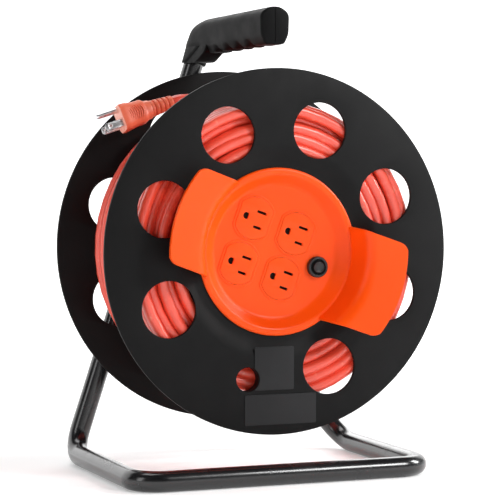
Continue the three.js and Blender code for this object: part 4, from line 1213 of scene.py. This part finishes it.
def make_stage():
    """A pale floor that curves up behind the reel."""
    reach, back, height, bend = 6.0, 5.0, 6.0, 1.5
    outline = [(-reach, 0.0), (back - bend, 0.0)]
    outline += [(back - bend + bend * math.sin(a), bend - bend * math.cos(a))
                for a in (math.pi / 2 * k / 16 for k in range(1, 17))]
    outline.append((back, height))
    points = [Vector((side * reach * 1.5, y, z)) for side in (-1, 1) for y, z in outline]
    n = len(outline)
    faces = [(i, i + 1, n + i + 1, n + i) for i in range(n - 1)]
    mesh = bpy.data.meshes.new("floor")
    mesh.from_pydata(points, [], faces)
    for face in mesh.polygons:
        face.use_smooth = True
    floor = placed("floor", mesh)
    # The floor glows, more so away from the reel, so that it stays white to the edge of the view.
    look = Nodes("floor_white", (0.86, 0.86, 0.86), 0.85, Emission_Color=(1, 1, 1, 1))
    look.tint(2, 0.01)
    distance = look.add("ShaderNodeVectorMath", operation="LENGTH")
    look.link(look.add("ShaderNodeTexCoord").outputs["Object"], distance.inputs[0])
    glow = look.spread(distance.outputs["Value"], 0.3, 0.95, 0.4, 1.6)
    look.link(glow, look.shader.inputs["Emission Strength"])
    floor.data.materials.append(look.material)


REEL_MIDDLE = Vector((0, 0, 0.18))


def soft_light(name, at, size, power):
    """A rectangular lamp that faces the reel's middle."""
    data = bpy.data.lights.new(name, "AREA")
    data.shape = "RECTANGLE"
    data.size, data.size_y = size
    data.energy = power
    lamp = placed(name, data)
    lamp.location = at
    lamp.rotation_euler = (REEL_MIDDLE - Vector(at)).to_track_quat("-Z", "Y").to_euler()


def make_light():
    """Five soft lamps, and surroundings that are bright near the horizon and dark above."""
    world = bpy.data.worlds.new("studio")
    bpy.context.scene.world = world
    world.use_nodes = True
    tree = world.node_tree
    background = tree.nodes["Background"]
    background.inputs["Color"].default_value = (1, 1, 1, 1)
    place = tree.nodes.new("ShaderNodeTexCoord")
    height = tree.nodes.new("ShaderNodeSeparateXYZ")
    fade = tree.nodes.new("ShaderNodeMapRange")
    for key, value in (("From Min", 0.1), ("From Max", 0.24), ("To Min", 1.0), ("To Max", 0.03)):
        fade.inputs[key].default_value = value
    tree.links.new(place.outputs["Generated"], height.inputs["Vector"])
    tree.links.new(height.outputs["Z"], fade.inputs["Value"])
    tree.links.new(fade.outputs["Result"], background.inputs["Strength"])
    soft_light("key", (1.15, -1.75, 1.45), (0.6, 0.6), 27)
    soft_light("fill", (-1.9, -0.6, 0.9), (0.6, 1.2), 6.5)
    soft_light("side", (1.75, -0.4, 1.05), (0.35, 0.8), 30)
    soft_light("top", (-0.1, 0.3, 2.1), (1.4, 0.8), 13)
    soft_light("back", (0.8, 2.0, 1.2), (1.6, 0.8), 9)


make_stage()
make_light()
